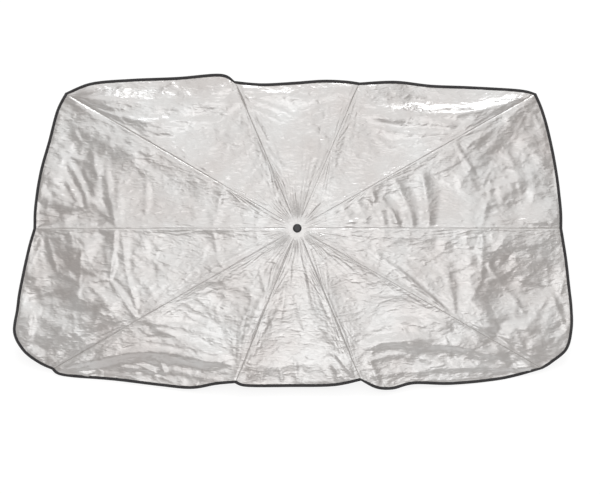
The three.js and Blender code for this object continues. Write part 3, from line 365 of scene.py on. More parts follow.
# Tents: raised or sunken point as a place in the picture, height in mm, and the corners its facets run to
TENTS = [
    # upper left gore
    (112, 99, 13, [(66, 95), (110, 84), (165, 82), (190, 102), (165, 114), (118, 114)]),
    (186, 101, 11, [(112, 99), (165, 81), (228, 84), (228, 106), (190, 114), (150, 114)]),
    (152, 121, 8, [(90, 108), (140, 112), (205, 111), (182, 134), (147, 136)]),
    # left side
    (75, 178, -7, [(62, 152), (88, 150), (95, 200), (84, 208), (55, 195), (50, 170)]),
    (60, 214, -12, [(32, 229), (114, 229), (112, 204), (75, 198), (36, 200)]),
    (100, 138, 5, [(70, 104), (140, 135), (140, 158), (100, 162), (60, 150)]),
    (98, 176, 4, [(88, 144), (112, 160), (110, 214), (90, 202)]),
    (50, 284, -9, [(36, 232), (60, 236), (78, 262), (78, 279), (66, 318), (28, 335), (18, 298)]),
    (93, 262, 6, [(110, 277), (113, 242), (84, 240), (79, 278), (96, 290)]),
    (104, 300, 5, [(110, 278), (137, 316), (100, 322), (82, 300), (80, 281)]),
    (60, 332, 4, [(80, 318), (90, 340), (52, 364), (34, 345), (46, 318)]),
    # lower left gore
    (120, 357, 9, [(56, 366), (110, 330), (160, 325), (190, 360), (160, 372), (112, 371)]),
    (190, 360, 8, [(120, 357), (170, 325), (225, 330), (236, 366), (220, 372), (160, 372)]),
    # lower right gore
    (395, 344, 9, [(358, 340), (400, 318), (450, 322), (446, 354), (420, 362), (365, 362)]),
    (450, 350, 5, [(395, 344), (440, 320), (500, 345), (510, 362), (450, 364)]),
    # right side
    (520, 286, -10, [(484, 236), (560, 240), (566, 300), (540, 322), (490, 318), (474, 290)]),
    (548, 308, 4, [(520, 290), (562, 285), (568, 320), (545, 335), (520, 322)]),
    (456, 296, -4, [(440, 262), (470, 262), (470, 300), (455, 318)]),
    (525, 345, 4, [(480, 322), (520, 326), (562, 330), (550, 355), (536, 362)]),
    (530, 176, 5, [(500, 150), (545, 140), (556, 180), (540, 205), (505, 200), (495, 175)]),
    (545, 216, 5, [(505, 200), (555, 190), (562, 226), (520, 227)]),
    # upper right gore
    (410, 107, 11, [(361, 104), (385, 97), (450, 96), (470, 104), (455, 121), (400, 120), (363, 117)]),
    (470, 108, 12, [(405, 107), (450, 92), (533, 97), (505, 113), (462, 132), (430, 120)]),
    (390, 88, 5, [(361, 86), (385, 80), (418, 86), (413, 97), (362, 97)]),
]

# How crumpled each gore is; taut ones are smoother
ROUGH = [0.85, 0.45, 0.35, 0.6, 1.0, 1.1, 0.65, 0.45, 0.55, 0.85]

# Layers of relief: size in mm, seed, stretch, direction in radians, height at the crown and the height
# that it gains towards the hem, in mm
CRUMPLES = [(95, 3, 1.6, 0.15, 0.9, 1.2), (42, 11, 1.8, -0.5, 0.45, 0.6), (17, 23, 2.0, 0.35, 0.2, 0.25)]
WIDE_PANES = [(170, 101, 1.3, 0.2, 1.89, 2.31)]
PANES = [(66, 111, 1.5, -0.35, 1.08, 1.68), (35, 121, 1.7, 0.8, 0.75, 0.9), (18, 131, 1.6, -1.1, 0.72, 0.6)]
# The same without the gain, for the panes at the two ends of the shade and for the thin creases
END_PANES = [(88, 141, 1.3, 1.2, 4.0), (46, 151, 1.5, 0.5, 3.4)]
VEINS = [(72, 161, 1.9, 0.9, 1.0), (60, 171, 2.2, -0.45, 0.9), (42, 181, 2.0, 0.2, 0.6)]

# What is kept of the heights in the lists above, and the height in mm that no fold goes past
FOLD_SHARE, BILLOW_SHARE, TENT_SHARE, HIGHEST = 0.7, 0.5, 0.7, 20.0
# The trough beside a fold: its depth as a share of the fold's height, its place and width in half widths
TROUGH_DEPTH, TROUGH_AT, TROUGH_WIDTH = 0.32, 2.1, 1.3
# Sag of the cloth between two ribs, and the radius round the cap inside which the cloth lies flat, in mm
SAG, FLAT_R = 9, 15.5
# Depth of the seam's groove, height of the allowance beside it and of the ridge over a rib, in mm
GROOVE, ALLOWANCE, RIDGE = 1.1, 0.3, 1.2
# Distances in mm over which the folds grow to their height: from the cap, from a rib and from the tape
GROW_CAP, GROW_RIB, GROW_TAPE = 25, 14, 9
# Share of the height that is left of raised folds over a rib, and of all folds under the tape
LEFT_AT_RIB, LEFT_AT_TAPE = 0.2, 0.35
# Depth in mm that the creases along a rib don't go past
PULL_DEPTH = 1.2
# Distances from the shaft in mm between which the panes at the shade's ends come up
ENDS_START, ENDS_FULL = 400, 490
# The share of the way to the hem from which the cloth is rougher, and over which that grows
OUTER_START, OUTER_GROWS = 0.45, 0.4


def eased(share):
    """The share, kept from 0 to 1, that starts and ends without a corner."""
    share = np.clip(share, 0, 1)
    return share * share * (3 - 2 * share)


def beside(x, y, start, end, bend):
    """Distance along a bent line, the same as a share, distance to its left, and its length."""
    d = end - start
    length = np.linalg.norm(d)
    d = d / length
    s = (x - start[0]) * d[0] + (y - start[1]) * d[1]
    f = np.clip(s / length, 0, 1)
    left = -(x - start[0]) * d[1] + (y - start[1]) * d[0] - bend * 4 * f * (1 - f)
    return s, f, left, length


def fold_height(x, y):
    """Height of the folds: each a sharp crest with a shallow trough on its left."""
    z = np.zeros_like(x)
    for u0, v0, u1, v1, high, wide, bend in FOLDS:
        s, f, left, length = beside(x, y, px(u0, v0), px(u1, v1), bend)
        past = np.maximum(0, np.maximum(-s, s - length))
        # wider in the middle than at its ends, where it also sinks away
        w = 1.3 * wide * (0.65 + 0.7 * np.sin(math.pi * np.clip(f, 0.04, 0.96)))
        ends = eased(np.minimum(s + 0.12 * length, 1.12 * length - s) / (0.3 * length))
        trough = TROUGH_DEPTH * np.exp(-(((left - TROUGH_AT * w) / (TROUGH_WIDTH * w)) ** 2))
        shape = np.exp(-((np.abs(left) / w) ** 1.25)) - trough
        z += high * shape * ends * np.exp(-past / (1.5 * wide))
    return z


def billow_height(x, y):
    """Height of the billows: each a rounded crest with a slope of its own on either side."""
    z = np.zeros_like(x)
    for u0, v0, u1, v1, high, above, below, bend in BILLOWS:
        s, f, left, length = beside(x, y, px(u0, v0), px(u1, v1), bend)
        left = left + 5 * lattice(x / 45, y / 45, 31)
        narrow = 0.3 + 0.7 * np.sin(math.pi * np.clip(f, 0.02, 0.98)) ** 0.6
        q = np.minimum(np.abs(left) / (np.where(left > 0, above, below) * narrow), 1)
        ends = eased(np.minimum(s + 0.04 * length, 1.04 * length - s) / (0.22 * length))
        z += high * ends * (1 - q) ** 1.5 * (1 + 0.5 * q)
    return z


def tent_height(x, y):
    """Flat facets that run from a point to its corners, with a crease between each two."""
    z = np.zeros_like(x)
    x, y = x + 6 * lattice(x / 50, y / 50, 33), y + 6 * lattice(x / 50 + 9, y / 50, 34)
    for u, v, high, corners in TENTS:
        top = px(u, v)
        dx, dy = x - top[0], y - top[1]
        arms = [px(*corner) - top for corner in corners]
        for p, q in zip(arms, arms[1:] + arms[:1]):
            area = p[0] * q[1] - p[1] * q[0]
            a, b = (dx * q[1] - dy * q[0]) / area, (p[0] * dy - p[1] * dx) / area
            z += np.where((a >= 0) & (b > 0), high * np.clip(1 - a - b, 0, 1), 0)
    return z


def between_ribs(i):
    """Angle between the two ribs of gore i, in degrees."""
    return (RIBS[(i + 1) % GORES][0] - RIBS[i][0]) % 360


def smooth_height(i, t, r, hem_r):
    """Height of gore i without its folds: the lines of its two ribs and the sag between them."""
    rib, after = RIBS[i], RIBS[(i + 1) % GORES]
    u = r / hem_r
    base = rib_height(rib, u * rib[1]) * (1 - t) + rib_height(after, u * after[1]) * t
    share = np.maximum(0, r - FLAT_R) / hem_r
    return base - SAG * np.sin(math.pi * t) * share * (2.2 - 1.6 * share)


def roughness(i, t):
    """How crumpled gore i is at share t of its width, blended with its neighbours at the seams."""
    edge = np.clip(1 - np.minimum(t, 1 - t) / 0.18, 0, 1)
    neighbour = np.where(t < 0.5, ROUGH[(i - 1) % GORES], ROUGH[(i + 1) % GORES])
    return ROUGH[i] + edge * 0.5 * (neighbour - ROUGH[i])


def cap_pleats(x, y, r):
    """Fine pleats that spread from the cap, and wider rays beyond them."""
    angle = np.arctan2(y, x)
    pleats = np.sin(angle * 34 + 5 * np.sin(angle * 3 + 1) + 2.2 * lattice(x / 60, y / 60, 91))
    near = np.exp(-np.maximum(0, r - 16) / 70) * np.clip((r - 12) / 18, 0, 1)
    rays = crests(lattice(angle * 9.5, r / 150, 17), 2.2) * np.exp(-(((r - 120) / 150) ** 2))
    return 1.5 * (1 - np.abs(pleats)) * near + 0.7 * rays


def layered(kind, layers, x, y, outer):
    """The sum of the layers, each higher towards the hem."""
    return sum(kind(x, y, *layer) * (high + gain * outer) for *layer, high, gain in layers)


def detail(i, t, x, y, r, hem_r):
    """Pleats, crumples, creased panes, thin creases and the gathers at the hem of gore i, in mm."""
    rough = roughness(i, t)
    u = r / hem_r
    outer = np.clip((u - OUTER_START) / OUTER_GROWS, 0, 1)
    z = cap_pleats(x, y, r) + layered(ridged, CRUMPLES, x, y, outer) * rough
    # crumples gather in patches, with calmer cloth between them
    patch = np.clip(0.55 + 1.3 * lattice(x / 130, y / 130, 61), 0.15, 1.3) * (0.55 + 0.45 * rough)
    z += layered(facets, WIDE_PANES, x, y, outer) * (0.6 + 0.4 * rough)
    z += layered(facets, PANES, x, y, outer) * patch
    at_ends = np.clip((np.abs(x) - ENDS_START) / (ENDS_FULL - ENDS_START), 0, 1)
    at_ends = at_ends * np.clip(0.8 - y / 300, 0.35, 1)
    z += sum(facets(x, y, *layer, warp=0.35) * high for *layer, high in END_PANES) * at_ends
    away_from_cap = np.clip(r / 120 - 0.5, 0, 1)
    z += sum(veins(x, y, *layer) * high for *layer, high in VEINS) * away_from_cap * (0.25 + 0.7 * patch)
    along = t * np.linalg.norm(tip(i + 1) - tip(i))
    hem = np.clip((u - 0.9) / 0.1, 0, 1)
    gathers = crests(lattice(along / 13, u * 3, 71 + i), 2)
    return z + gathers * 1.6 * hem**1.5 * rough


def rib_distance(i, t, r):
    """Distance from the two ribs of gore i."""
    a = math.radians(between_ribs(i))
    return r * np.sin(np.minimum(t * a, math.pi / 2)), r * np.sin(np.minimum((1 - t) * a, math.pi / 2))


def fan(i, rib, t, r, seed):
    """Fine creases that the pull of the cloth draws from a rib's joints and tip along the rib."""
    _, reach, long = RIBS[rib % GORES]
    turned = math.radians(between_ribs(i))
    off = t * turned if rib == i else (1 - t) * turned
    x, y = r * np.cos(off), r * np.sin(off)
    tip_r = reach - 10
    places = [(SECOND, -1), (SECOND, 1), (THIRD, -1), (THIRD, 1)] if long else [(SECOND, -1), (SECOND, 1)]
    z = np.zeros_like(x)
    for k, (stop, side) in enumerate(places + [(tip_r, -1)]):
        joint = k // 2
        along, spread = (x - stop) * side, np.arctan2(y, np.abs(x - stop) + 4)
        lines = crests(lattice(spread * 15, along / 170 + 3 * joint, seed + 11 * joint + side), 2.4)
        near = np.exp(-((spread / 0.30) ** 2)) * np.clip(along / 14, 0, 1)
        z += 1.7 * lines * near * np.exp(-np.maximum(along, 0) / 95)
    return z


def relief(i, t, r, hem_r, slant):
    """Height of the folded cloth; the folds die away over the ribs, at the cap and under the tape."""
    azimuth = np.radians(RIBS[i][0] + t * between_ribs(i))
    x, y = r * np.cos(azimuth), r * np.sin(azimuth)
    from_cap = np.maximum(0, r - FLAT_R)
    folds = detail(i, t, x, y, r, hem_r) + FOLD_SHARE * fold_height(x, y)
    folds = folds * np.clip(from_cap / GROW_CAP, 0, 1)
    folds = folds + BILLOW_SHARE * billow_height(x, y) + TENT_SHARE * tent_height(x, y)
    before, after = rib_distance(i, t, r)
    near = np.minimum(before, after)
    grown = np.clip(near / GROW_RIB, 0, 1)
    folds = np.where(folds < 0, folds * grown, folds * (LEFT_AT_RIB + (1 - LEFT_AT_RIB) * grown))
    pulled = fan(i, i, t, r, 201 + i) + fan(i, i + 1, t, r, 202 + i)
    folds = folds + np.maximum(pulled, -PULL_DEPTH) * np.clip(near / 3, 0.2, 1)
    inside = np.clip(((hem_r - r) * slant - 5) / GROW_TAPE, 0, 1)
    folds = HIGHEST * np.tanh(folds / HIGHEST) * (LEFT_AT_TAPE + (1 - LEFT_AT_TAPE) * eased(inside))
    # the sewn seam: a groove on the line, the folded allowance beside it and the rib under it
    seam = ALLOWANCE * np.exp(-(((before - 4.5) / 3.2) ** 4)) - GROOVE * np.exp(-((near / 1.6) ** 2))
    ridge = (0.45 + 0.55 * np.clip((r - 420) / 60, 0, 1)) * np.clip((r - 40) / 60, 0, 1)
    seam = seam + RIDGE * np.exp(-near / 6) * ridge
    return smooth_height(i, t, r, hem_r) + folds + seam * np.clip(from_cap / 30, 0, 1) * inside


# Materials
def material(name, base, rough, metal=0.0):
    """A plain material, its node tree and its shader."""
    m = bpy.data.materials.new(name)
    m.use_nodes = True
    b = m.node_tree.nodes["Principled BSDF"]
    b.inputs["Base Color"].default_value = (*base, 1)
    b.inputs["Roughness"].default_value = rough
    b.inputs["Metallic"].default_value = metal
    return m, m.node_tree, b


def add(tree, kind, **settings):
    """A node; each setting is the value of an input or a property of the node."""
    n = tree.nodes.new(kind)
    for key, value in settings.items():
        if key in n.inputs:
            n.inputs[key].default_value = value
        else:
            setattr(n, key, value)
    return n


def on_surface(tree):
    """Places on the piece, in its own frame."""
    return add(tree, "ShaderNodeTexCoord").outputs["Object"]


def noise(tree, where, scale, detail, rough=0.5, distortion=0.0):
    n = add(tree, "ShaderNodeTexNoise", Scale=scale, Detail=detail, Roughness=rough, Distortion=distortion)
    tree.links.new(where, n.inputs["Vector"])
    return n


def wave(tree, where, scale, **settings):
    n = add(tree, "ShaderNodeTexWave", Scale=scale, **settings)
    tree.links.new(where, n.inputs["Vector"])
    return n.outputs["Fac"]


def combined(tree, operation, one, other):
    """The result of an operation on two sockets."""
    n = add(tree, "ShaderNodeMath", operation=operation)
    tree.links.new(one, n.inputs[0])
    tree.links.new(other, n.inputs[1])
    return n.outputs[0]


def spread(tree, value, low, high, start=0.0, end=1.0):
    """The value, which runs from start to end, spread from low to high."""
    n = add(tree, "ShaderNodeMapRange")
    for name, number in (("From Min", start), ("From Max", end), ("To Min", low), ("To Max", high)):
        n.inputs[name].default_value = number
    tree.links.new(value, n.inputs["Value"])
    return n.outputs["Result"]


def two_tones(tree, value, start, end):
    """Colour that runs from one tone to another; each tone is a value and a colour."""
    ramp = add(tree, "ShaderNodeValToRGB")
    for element, (place, colour) in zip(ramp.color_ramp.elements, (start, end)):
        element.position = place
        element.color = (*colour, 1)
    tree.links.new(value, ramp.inputs["Fac"])
    return ramp.outputs["Color"]


def bumps(tree, b, layers):
    """Bumps on top of each other: height, strength and depth in metres."""
    normal = None
    for height, strength, depth in layers:
        bump = add(tree, "ShaderNodeBump", Strength=strength, Distance=depth)
        tree.links.new(height, bump.inputs["Height"])
        if normal:
            tree.links.new(normal, bump.inputs["Normal"])
        normal = bump.outputs["Normal"]
    tree.links.new(normal, b.inputs["Normal"])


def silver():
    """The coated outer side of the cloth: a dull mirror with fine creases, an uneven tone, and painted shade
    and highlight along the creases.
    """
    m, tree, b = material("silver_cloth", (0.66, 0.65, 0.635), 0.42, 0.75)
    where = on_surface(tree)

    def creases(scale, detail, turned, stretch):
        """Sharp fine creases, drawn out along one direction."""
        place = add(tree, "ShaderNodeMapping")
        place.inputs["Rotation"].default_value = (0, 0, turned)
        place.inputs["Scale"].default_value = (1, stretch, stretch)
        tree.links.new(where, place.inputs["Vector"])
        n = noise(tree, place.outputs["Vector"], scale, detail, 0.6, 0.5)
        n.noise_type = "RIDGED_MULTIFRACTAL"
        return n.outputs["Fac"]

    level = creases(36.0, 3.0, 0.25, 2.2)
    rising = creases(50.0, 3.0, -0.6, 2.4)
    falling = creases(62.0, 2.0, 1.1, 2.0)

    # uneven tone of the coating, with painted shade in the creases and a painted highlight on their edges
    cloud = noise(tree, where, 7.0, 5.0, 0.6).outputs["Fac"]
    coating = two_tones(tree, cloud, (0.32, (0.63, 0.60, 0.585)), (0.68, (0.73, 0.73, 0.725)))
    # painted shade in the creases and painted highlight on their crests, from the same creases as the bumps
    crease_shade_and_highlight = spread(tree, combined(tree, "ADD", level, rising), 0.82, 1.20, 0.2, 2.2)
    tone = add(tree, "ShaderNodeMix", data_type="RGBA", blend_type="MULTIPLY")
    tone.inputs[0].default_value = 1.0
    tree.links.new(coating, tone.inputs[6])
    tree.links.new(crease_shade_and_highlight, tone.inputs[7])
    tree.links.new(tone.outputs[2], b.inputs["Base Color"])
    # roughness varies where the coating is rubbed
    rubbed = noise(tree, where, 18.0, 4.0).outputs["Fac"]
    tree.links.new(spread(tree, rubbed, 0.27, 0.43), b.inputs["Roughness"])
    # fine crumples and the weave under the coating
    fine = noise(tree, where, 160.0, 5.0, 0.65).outputs["Fac"]
    weave = wave(tree, where, 900.0)
    creased = [(level, 1.0, 0.0009), (rising, 1.0, 0.0008), (falling, 1.0, 0.0007)]
    bumps(tree, b, creased + [(fine, 0.12, 0.001), (weave, 0.05, 0.0002)])
    return m


def woven(name, dark, light, rough, scale):
    """Cloth or tape: two crossing sets of threads, uneven in tone, with a soft sheen."""
    m, tree, b = material(name, dark, rough)
    where = on_surface(tree)
    one, other = (wave(tree, where, scale, bands_direction=d, Distortion=0.4) for d in ("X", "DIAGONAL"))
    threads = combined(tree, "MULTIPLY", one, other)
    cloud = noise(tree, where, 40.0, 4.0).outputs["Fac"]
    tone = two_tones(tree, combined(tree, "ADD", threads, cloud), (0.35, dark), (1.0, light))
    tree.links.new(tone, b.inputs["Base Color"])
    bumps(tree, b, [(threads, 0.35, 0.0006)])
    b.inputs["Sheen Weight"].default_value = 0.25
    return m


def speckled(name, base, low, high, metal, scale, strength):
    """Plastic, rubber, rod, metal or thread: grained or lightly brushed, with uneven gloss and tone."""
    m, tree, b = material(name, base, (low + high) / 2, metal)
    where = on_surface(tree)
    grain = noise(tree, where, scale, 4.0, 0.6).outputs["Fac"]
    cloud = noise(tree, where, 30.0, 3.0).outputs["Fac"]
    tree.links.new(spread(tree, cloud, low, high), b.inputs["Roughness"])
    tone = add(tree, "ShaderNodeMix", data_type="RGBA")
    tone.inputs[6].default_value = (*[c * 0.8 for c in base], 1)
    tone.inputs[7].default_value = (*[min(1, c * 1.25) for c in base], 1)
    tree.links.new(cloud, tone.inputs[0])
    tree.links.new(tone.outputs[2], b.inputs["Base Color"])
    bumps(tree, b, [(grain, strength, 0.0004)])
    return m


SILVER = silver()
# the seam's faces: darker for the stitching thread and for painted shade in the seam's groove
SEAM_THREAD_AND_SHADE = speckled("seam_thread_and_painted_shade", (0.36, 0.345, 0.33), 0.5, 0.7, 0.2, 900.0, 0.3)
LINING = woven("black_lining", (0.012, 0.012, 0.014), (0.04, 0.04, 0.045), 0.7, 420.0)
TAPE = woven("binding_tape", (0.010, 0.009, 0.010), (0.035, 0.033, 0.035), 0.85, 300.0)
PLASTIC = speckled("black_plastic", (0.022, 0.022, 0.024), 0.32, 0.5, 0.0, 900.0, 0.12)
STEEL = speckled("dark_steel", (0.035, 0.035, 0.038), 0.28, 0.45, 0.6, 500.0, 0.08)
ROD = speckled("fibreglass", (0.018, 0.018, 0.02), 0.25, 0.42, 0.0, 700.0, 0.1)
TUBE = speckled("tube_steel", (0.62, 0.63, 0.65), 0.16, 0.3, 1.0, 300.0, 0.04)
WIRE = speckled("wire_steel", (0.55, 0.56, 0.58), 0.25, 0.4, 1.0, 400.0, 0.05)
GRIP = speckled("grip_rubber", (0.022, 0.022, 0.023), 0.6, 0.8, 0.0, 1400.0, 0.3)

# What the solids' names start with, and their material; the others are black plastic
LOOKS = [
    (("inner_rib", "stretcher"), STEEL),
    (("middle_rib", "end_rib"), ROD),
    (("upper_tube", "lower_tube"), TUBE),
    (("crown_ring_wire", "spring_catch"), WIRE),
    (("handle_grip",), GRIP),
]
for name, obj in frame["nodes"].items():
    look = next((look for starts, look in LOOKS if name.startswith(starts)), PLASTIC)
    for s in obj.material_slots:
        s.material = look


# The cloth: points across a gore and along its tape, and the depth of a row in mm
COLUMNS = 101
TAPE_POINTS = 150
STEP = 4.5
# Half the cloth's thickness, and the depth under which a face counts as closed up, in mm
HALF, CLOSED = 0.35, 0.05
# Distance from the shaft where the sewn seam starts, in mm
SEAM_START = 45
# The tape's section: share of its width inwards from the edge, and height from the cloth's middle in mm
TAPE_SECTION = [
    (1.0, 1.0), (0.96, 1.25), (0.8, 1.4), (0.45, 1.45), (0.12, 1.2), (0.0, 0.5),
    (0.0, -0.5), (0.12, -1.1), (0.45, -1.3), (0.8, -1.25), (0.96, -1.1), (1.0, -0.9),
]


def body_names(carrier):
    """Bodies of the rib's segments, from the crown outwards."""
    number = carrier + 1
    if RIBS[carrier][2]:
        return [f"inner_rib_{number}", f"middle_rib_{number}", f"end_rib_{number}"]
    return [f"inner_rib_{number}", f"end_rib_{number}"]


def joint_distances(carrier):
    """Distances of a rib's joints from the shaft, apart from the one at the crown."""
    return [SECOND, THIRD] if RIBS[carrier][2] else [SECOND]


def fold_flat(obj):
    """Gives the piece a mesh of its own."""
    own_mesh(obj)


def build(name, points, faces, mats, face_mats, normals=None):
    """An object with a material for each face and, where given, a normal for each point."""
    mesh = bpy.data.meshes.new(name)
    mesh.from_pydata(points.tolist(), [], faces)
    for m in mats:
        mesh.materials.append(m)
    mesh.polygons.foreach_set("material_index", face_mats)
    mesh.polygons.foreach_set("use_smooth", [True] * len(faces))
    mesh.update()
    if normals is not None:
        mesh.normals_split_custom_set_from_vertices(normals.tolist())
    obj = bpy.data.objects.new(name, mesh)
    bpy.context.scene.collection.objects.link(obj)
    return obj


def surface_area(points, quads):
    """Area in square metres of quads between points in millimetres."""
    a, b, c, d = (points[quads[:, k]] for k in range(4))
    one, other = np.cross(c - a, b - a), np.cross(d - a, c - a)
    return float((np.linalg.norm(one, axis=1) + np.linalg.norm(other, axis=1)).sum() / 2) * MM2


def flat_size(part, area):
    """Width and length in metres of the piece laid out flat."""
    across, up = np.ptp(part[..., 0]) * MM, np.ptp(part[..., 1]) * MM
    side = max(math.sqrt(area) * 1.02, 0.02)
    wide = max(min(across, up), 0.3 * side)
    long_side = max(area / wide * 1.05, side)
    while area < 0.31 * wide * long_side:
        long_side *= 0.95
    return wide, long_side


def gore_grid(i):
    """Points of gore i's middle layer, row by row outwards, and the rows where the ribs' joints cut it."""
    carrier = CARRIERS[i]
    t = np.linspace(0, 1, COLUMNS)
    t = 0.5 * t + 0.5 * (0.5 - 0.5 * np.cos(math.pi * t))
    hem = hem_at(i, t)
    hem_r = np.linalg.norm(hem, axis=1)
    theta = np.arctan2(hem[:, 1], hem[:, 0])
    slant = hem_slant(i, t)
    edge = hem_r - HEM_IN / slant
    apart = np.cos(theta - math.radians(RIBS[carrier][0]))
    cut_lines = [np.minimum(distance / apart, edge) for distance in joint_distances(carrier)]
    lines = [np.full(COLUMNS, HOLE), *cut_lines, edge]
    rows, cuts = [lines[0]], [0]
    for start, end in zip(lines, lines[1:]):
        count = max(2, int(np.max(end - start) / STEP))
        rows += [start + (end - start) * k / count for k in range(1, count + 1)]
        cuts.append(len(rows) - 1)
    r = np.array(rows)
    t, hem_r, slant = (np.broadcast_to(row, r.shape) for row in (t, hem_r, slant))
    return np.stack([r * np.cos(theta), r * np.sin(theta), relief(i, t, r, hem_r, slant)], -1), cuts


def upward_normals(p):
    """Normals at the points of a grid, from the faces round each."""
    a, b, c = p[:-1, :-1], p[:-1, 1:], p[1:, 1:]
    face = np.cross(b - a, c - a)
    face = np.where(face[..., 2:3] < 0, -face, face)
    normal = np.zeros_like(p)
    before, after = slice(0, -1), slice(1, None)
    for rows, columns in ((before, before), (before, after), (after, after), (after, before)):
        normal[rows, columns] += face
    length = np.linalg.norm(normal, axis=-1, keepdims=True)
    return np.where(length > 1e-6, normal / np.maximum(length, 1e-9), np.array([0, 0, 1.0]))


def cloth_piece(name, part, normal):
    """A closed sheet round the grid: silver above, lining below and on the rim, sewn on its first seam, which
    is darker for its thread and for painted shade in its groove.
    """
    height, width = part.shape[:2]
    layer = height * width
    points = np.concatenate([(part + normal * HALF).reshape(-1, 3), (part - normal * HALF).reshape(-1, 3)])
    normals = np.concatenate([normal.reshape(-1, 3), -normal.reshape(-1, 3)])
    depth = np.linalg.norm(part[1:, :] - part[:-1, :], axis=-1)
    keep = (depth[:, :-1] > CLOSED) | (depth[:, 1:] > CLOSED)
    at = np.arange(layer).reshape(height, width)
    quads = np.stack([at[:-1, :-1], at[1:, :-1], at[1:, 1:], at[:-1, 1:]], -1)[keep]
    # the rim is every side of a quad that no other quad shares
    sides = np.concatenate([quads[:, [k, (k + 1) % 4]] for k in range(4)])
    forward = sides[:, 0] * layer + sides[:, 1]
    backward = sides[:, 1] * layer + sides[:, 0]
    rim = sides[~np.isin(forward, backward)]
    wall = np.stack([rim[:, 1], rim[:, 0], rim[:, 0] + layer, rim[:, 1] + layer], -1)
    every = np.concatenate([quads, quads[:, ::-1] + layer, wall])
    column = np.broadcast_to(np.arange(width - 1), keep.shape)[keep]
    distance = np.linalg.norm(part[:-1, :-1, :2], axis=-1)[keep]
    # faces on the seam, darker for the thread and for painted shade in its groove
    seam_thread_and_shade = (column == 0) & (distance > SEAM_START)
    looks = np.r_[np.where(seam_thread_and_shade, 2, 0), np.ones(len(quads) + len(wall), int)].tolist()
    used, faces = np.unique(every, return_inverse=True)
    faces = faces.reshape(-1, 4).tolist()
    mats = [SILVER, LINING, SEAM_THREAD_AND_SHADE]
    obj = build(name, to_row(points[used]), faces, mats, looks, turn(normals[used]))
    return obj, surface_area(part.reshape(-1, 3), quads)


def gore(i):
    """The sewn panel between two ribs, in a piece for each segment of the rib that it folds with."""
    carrier = CARRIERS[i]
    points, cuts = gore_grid(i)
    normals = upward_normals(points)
    for ring, body in enumerate(body_names(carrier)):
        rows = slice(cuts[ring], cuts[ring + 1] + 1)
        part = points[rows]
        obj, area = cloth_piece(f"gore_{i + 1}_{ring + 1}", part, normals[rows])
        fold_flat(obj)
        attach(obj, body)
        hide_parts(f"canopy_gore_{i + 1}")
        flat_size(part, area)


def tape_grid(i, t, hem):
    """Points of the folded tape along gore i's hem, one row for each place on its section."""
    hem_r = np.linalg.norm(hem, axis=1)
    out = hem / hem_r[:, None]
    tangent = np.gradient(hem, axis=0)
    tangent /= np.linalg.norm(tangent, axis=1)[:, None]
    square = np.stack([tangent[:, 1], -tangent[:, 0]], -1)
    near = np.clip(np.minimum(t, 1 - t) * 12, 0, 1)[:, None]
    inward = -(square * near + out * (1 - near))
    inward /= np.linalg.norm(inward, axis=1)[:, None]
    slant = hem_slant(i, t)

    def height(points):
        return relief(i, t, np.minimum(np.linalg.norm(points, axis=1), hem_r), hem_r, slant)

    width = BIND + 0.5 * lattice(t * 40, t * 0 + i, 5)
    edge_z = height(hem - 0.2 * out)
    inner_z = height(hem + inward * BIND)
    rows = []
    for share, up in TAPE_SECTION:
        plan = hem + inward * (share * width)[:, None]
        z = edge_z + (inner_z - edge_z) * share + up + 0.12 * lattice(t * 90, t * 0 + share * 2, 9)
        rows.append(np.concatenate([plan, z[:, None]], 1))
    return np.array(rows)


def hose_faces(rings, sides):
    """Quads between rings of points, and a face over each end."""
    faces = []
    for k in range(rings - 1):
        for s in range(sides):
            a, b = k * sides + s, k * sides + (s + 1) % sides
            faces.append([a, b, b + sides, a + sides])
    faces.append(list(range(sides)))
    faces.append([(rings - 1) * sides + s for s in reversed(range(sides))])
    return faces


def binding(i):
    """The folded tape along one gore's hem, in a piece for each rib segment that it goes with."""
    carrier = CARRIERS[i]
    names = body_names(carrier)
    t = np.linspace(0, 1, TAPE_POINTS)
    hem = hem_at(i, t)
    points = tape_grid(i, t, hem)
    azimuth = math.radians(RIBS[carrier][0])
    along_rib = hem @ np.array([math.cos(azimuth), math.sin(azimuth)])
    segment = sum((along_rib > distance).astype(int) for distance in joint_distances(carrier))
    changes = np.flatnonzero(np.diff(segment[:-1])) + 1
    stops = [0, *changes.tolist(), TAPE_POINTS - 1]
    for number, (start, stop) in enumerate(zip(stops, stops[1:]), 1):
        part = points[:, start : stop + 1].transpose(1, 0, 2)
        faces = hose_faces(len(part), len(TAPE_SECTION))
        row_points = to_row(part.reshape(-1, 3))
        obj = build(f"binding_{i + 1}_{number}", row_points, faces, [TAPE], [0] * len(faces))
        fold_flat(obj)
        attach(obj, names[segment[start]])
        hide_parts("edge_binding")


for i in range(GORES):
    gore(i)
    binding(i)


# Floor, light and camera
FLOOR_HALF = 60
FLOOR_GLOW, FLOOR_GLOW_SHARE = 1.05, 0.8
STUDIO_COLOUR, STUDIO_STRENGTH = (1.0, 0.95, 0.915, 1), 0.465
LENS, SENSOR, CLIP_END = 100, 36, 200
# Where the camera aims, in the shade's frame, and how far it stands from there, in mm
AIM, CAMERA_DISTANCE = np.array([6.9, -47.0, -20.0]), 4205.0


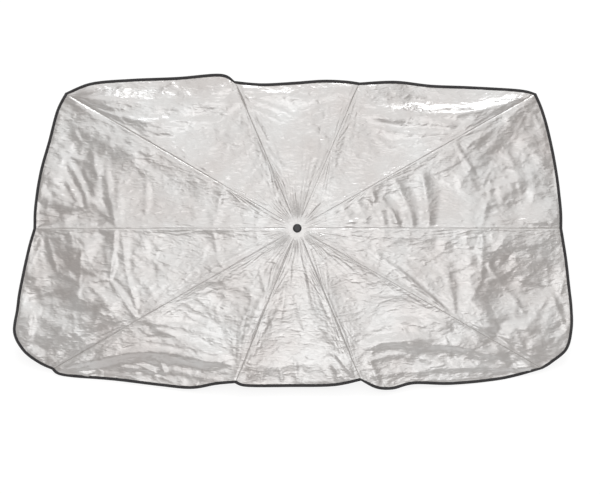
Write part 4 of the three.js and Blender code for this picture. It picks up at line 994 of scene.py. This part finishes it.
def floor_material():
    """A pale floor that camera, mirrors and glass see as white."""
    pale, tree, b = material("pale_floor", (0.93, 0.93, 0.93), 0.85)
    white = add(tree, "ShaderNodeEmission", Color=(1, 1, 1, 1), Strength=FLOOR_GLOW)
    seen = add(tree, "ShaderNodeLightPath")
    rays = seen.outputs["Is Camera Ray"]
    for kind in ("Is Glossy Ray", "Is Transmission Ray"):
        rays = combined(tree, "MAXIMUM", rays, seen.outputs[kind])
    part = add(tree, "ShaderNodeMath", operation="MULTIPLY")
    part.inputs[1].default_value = FLOOR_GLOW_SHARE
    tree.links.new(rays, part.inputs[0])
    blend = add(tree, "ShaderNodeMixShader")
    tree.links.new(part.outputs[0], blend.inputs[0])
    tree.links.new(b.outputs[0], blend.inputs[1])
    tree.links.new(white.outputs[0], blend.inputs[2])
    tree.links.new(blend.outputs[0], tree.nodes["Material Output"].inputs["Surface"])
    return pale


floor_mesh = bpy.data.meshes.new("floor")
corners = [(x * FLOOR_HALF, y * FLOOR_HALF, 0) for x, y in ((-1, -1), (1, -1), (1, 1), (-1, 1))]
floor_mesh.from_pydata(corners, [], [(0, 1, 2, 3)])
floor = bpy.data.objects.new("floor", floor_mesh)
bpy.context.scene.collection.objects.link(floor)
floor_mesh.materials.append(floor_material())

scene = bpy.context.scene
scene.view_settings.view_transform = "Standard"
world = bpy.data.worlds.new("studio")
scene.world = world
world.use_nodes = True
world.node_tree.nodes["Background"].inputs["Color"].default_value = STUDIO_COLOUR
world.node_tree.nodes["Background"].inputs["Strength"].default_value = STUDIO_STRENGTH


def far_light(name, direction, softness, strength, colour):
    """A distant soft lamp: direction towards it in the shade's frame, softness in degrees."""
    light = bpy.data.lights.new(name, "SUN")
    light.angle = math.radians(softness)
    light.energy = strength
    light.color = colour
    obj = bpy.data.objects.new(name, light)
    scene.collection.objects.link(obj)
    obj.rotation_euler = (-Vector(turn(direction))).to_track_quat("-Z", "Y").to_euler()


far_light("softbox", (0.0, 0.43, 0.90), 76, 1.06, (0.97, 0.99, 1.0))
far_light("front", (0.02, -0.24, 0.97), 34, 0.38, (0.98, 0.99, 1.0))
far_light("edge", (0.06, 1.0, 0.40), 20, 1.0, (0.95, 0.98, 1.0))

camera = bpy.data.objects.new("camera", bpy.data.cameras.new("camera"))
scene.collection.objects.link(camera)
camera.data.lens = LENS
camera.data.sensor_width = SENSOR
camera.data.clip_end = CLIP_END
turned = Matrix((AXIS_X, AXIS_Y, AXIS_Z)).transposed().to_4x4()
turned.translation = Vector(to_row(AIM + np.array([0, 0, CAMERA_DISTANCE])))
camera.matrix_world = turned
scene.camera = camera

bpy.context.view_layer.update()
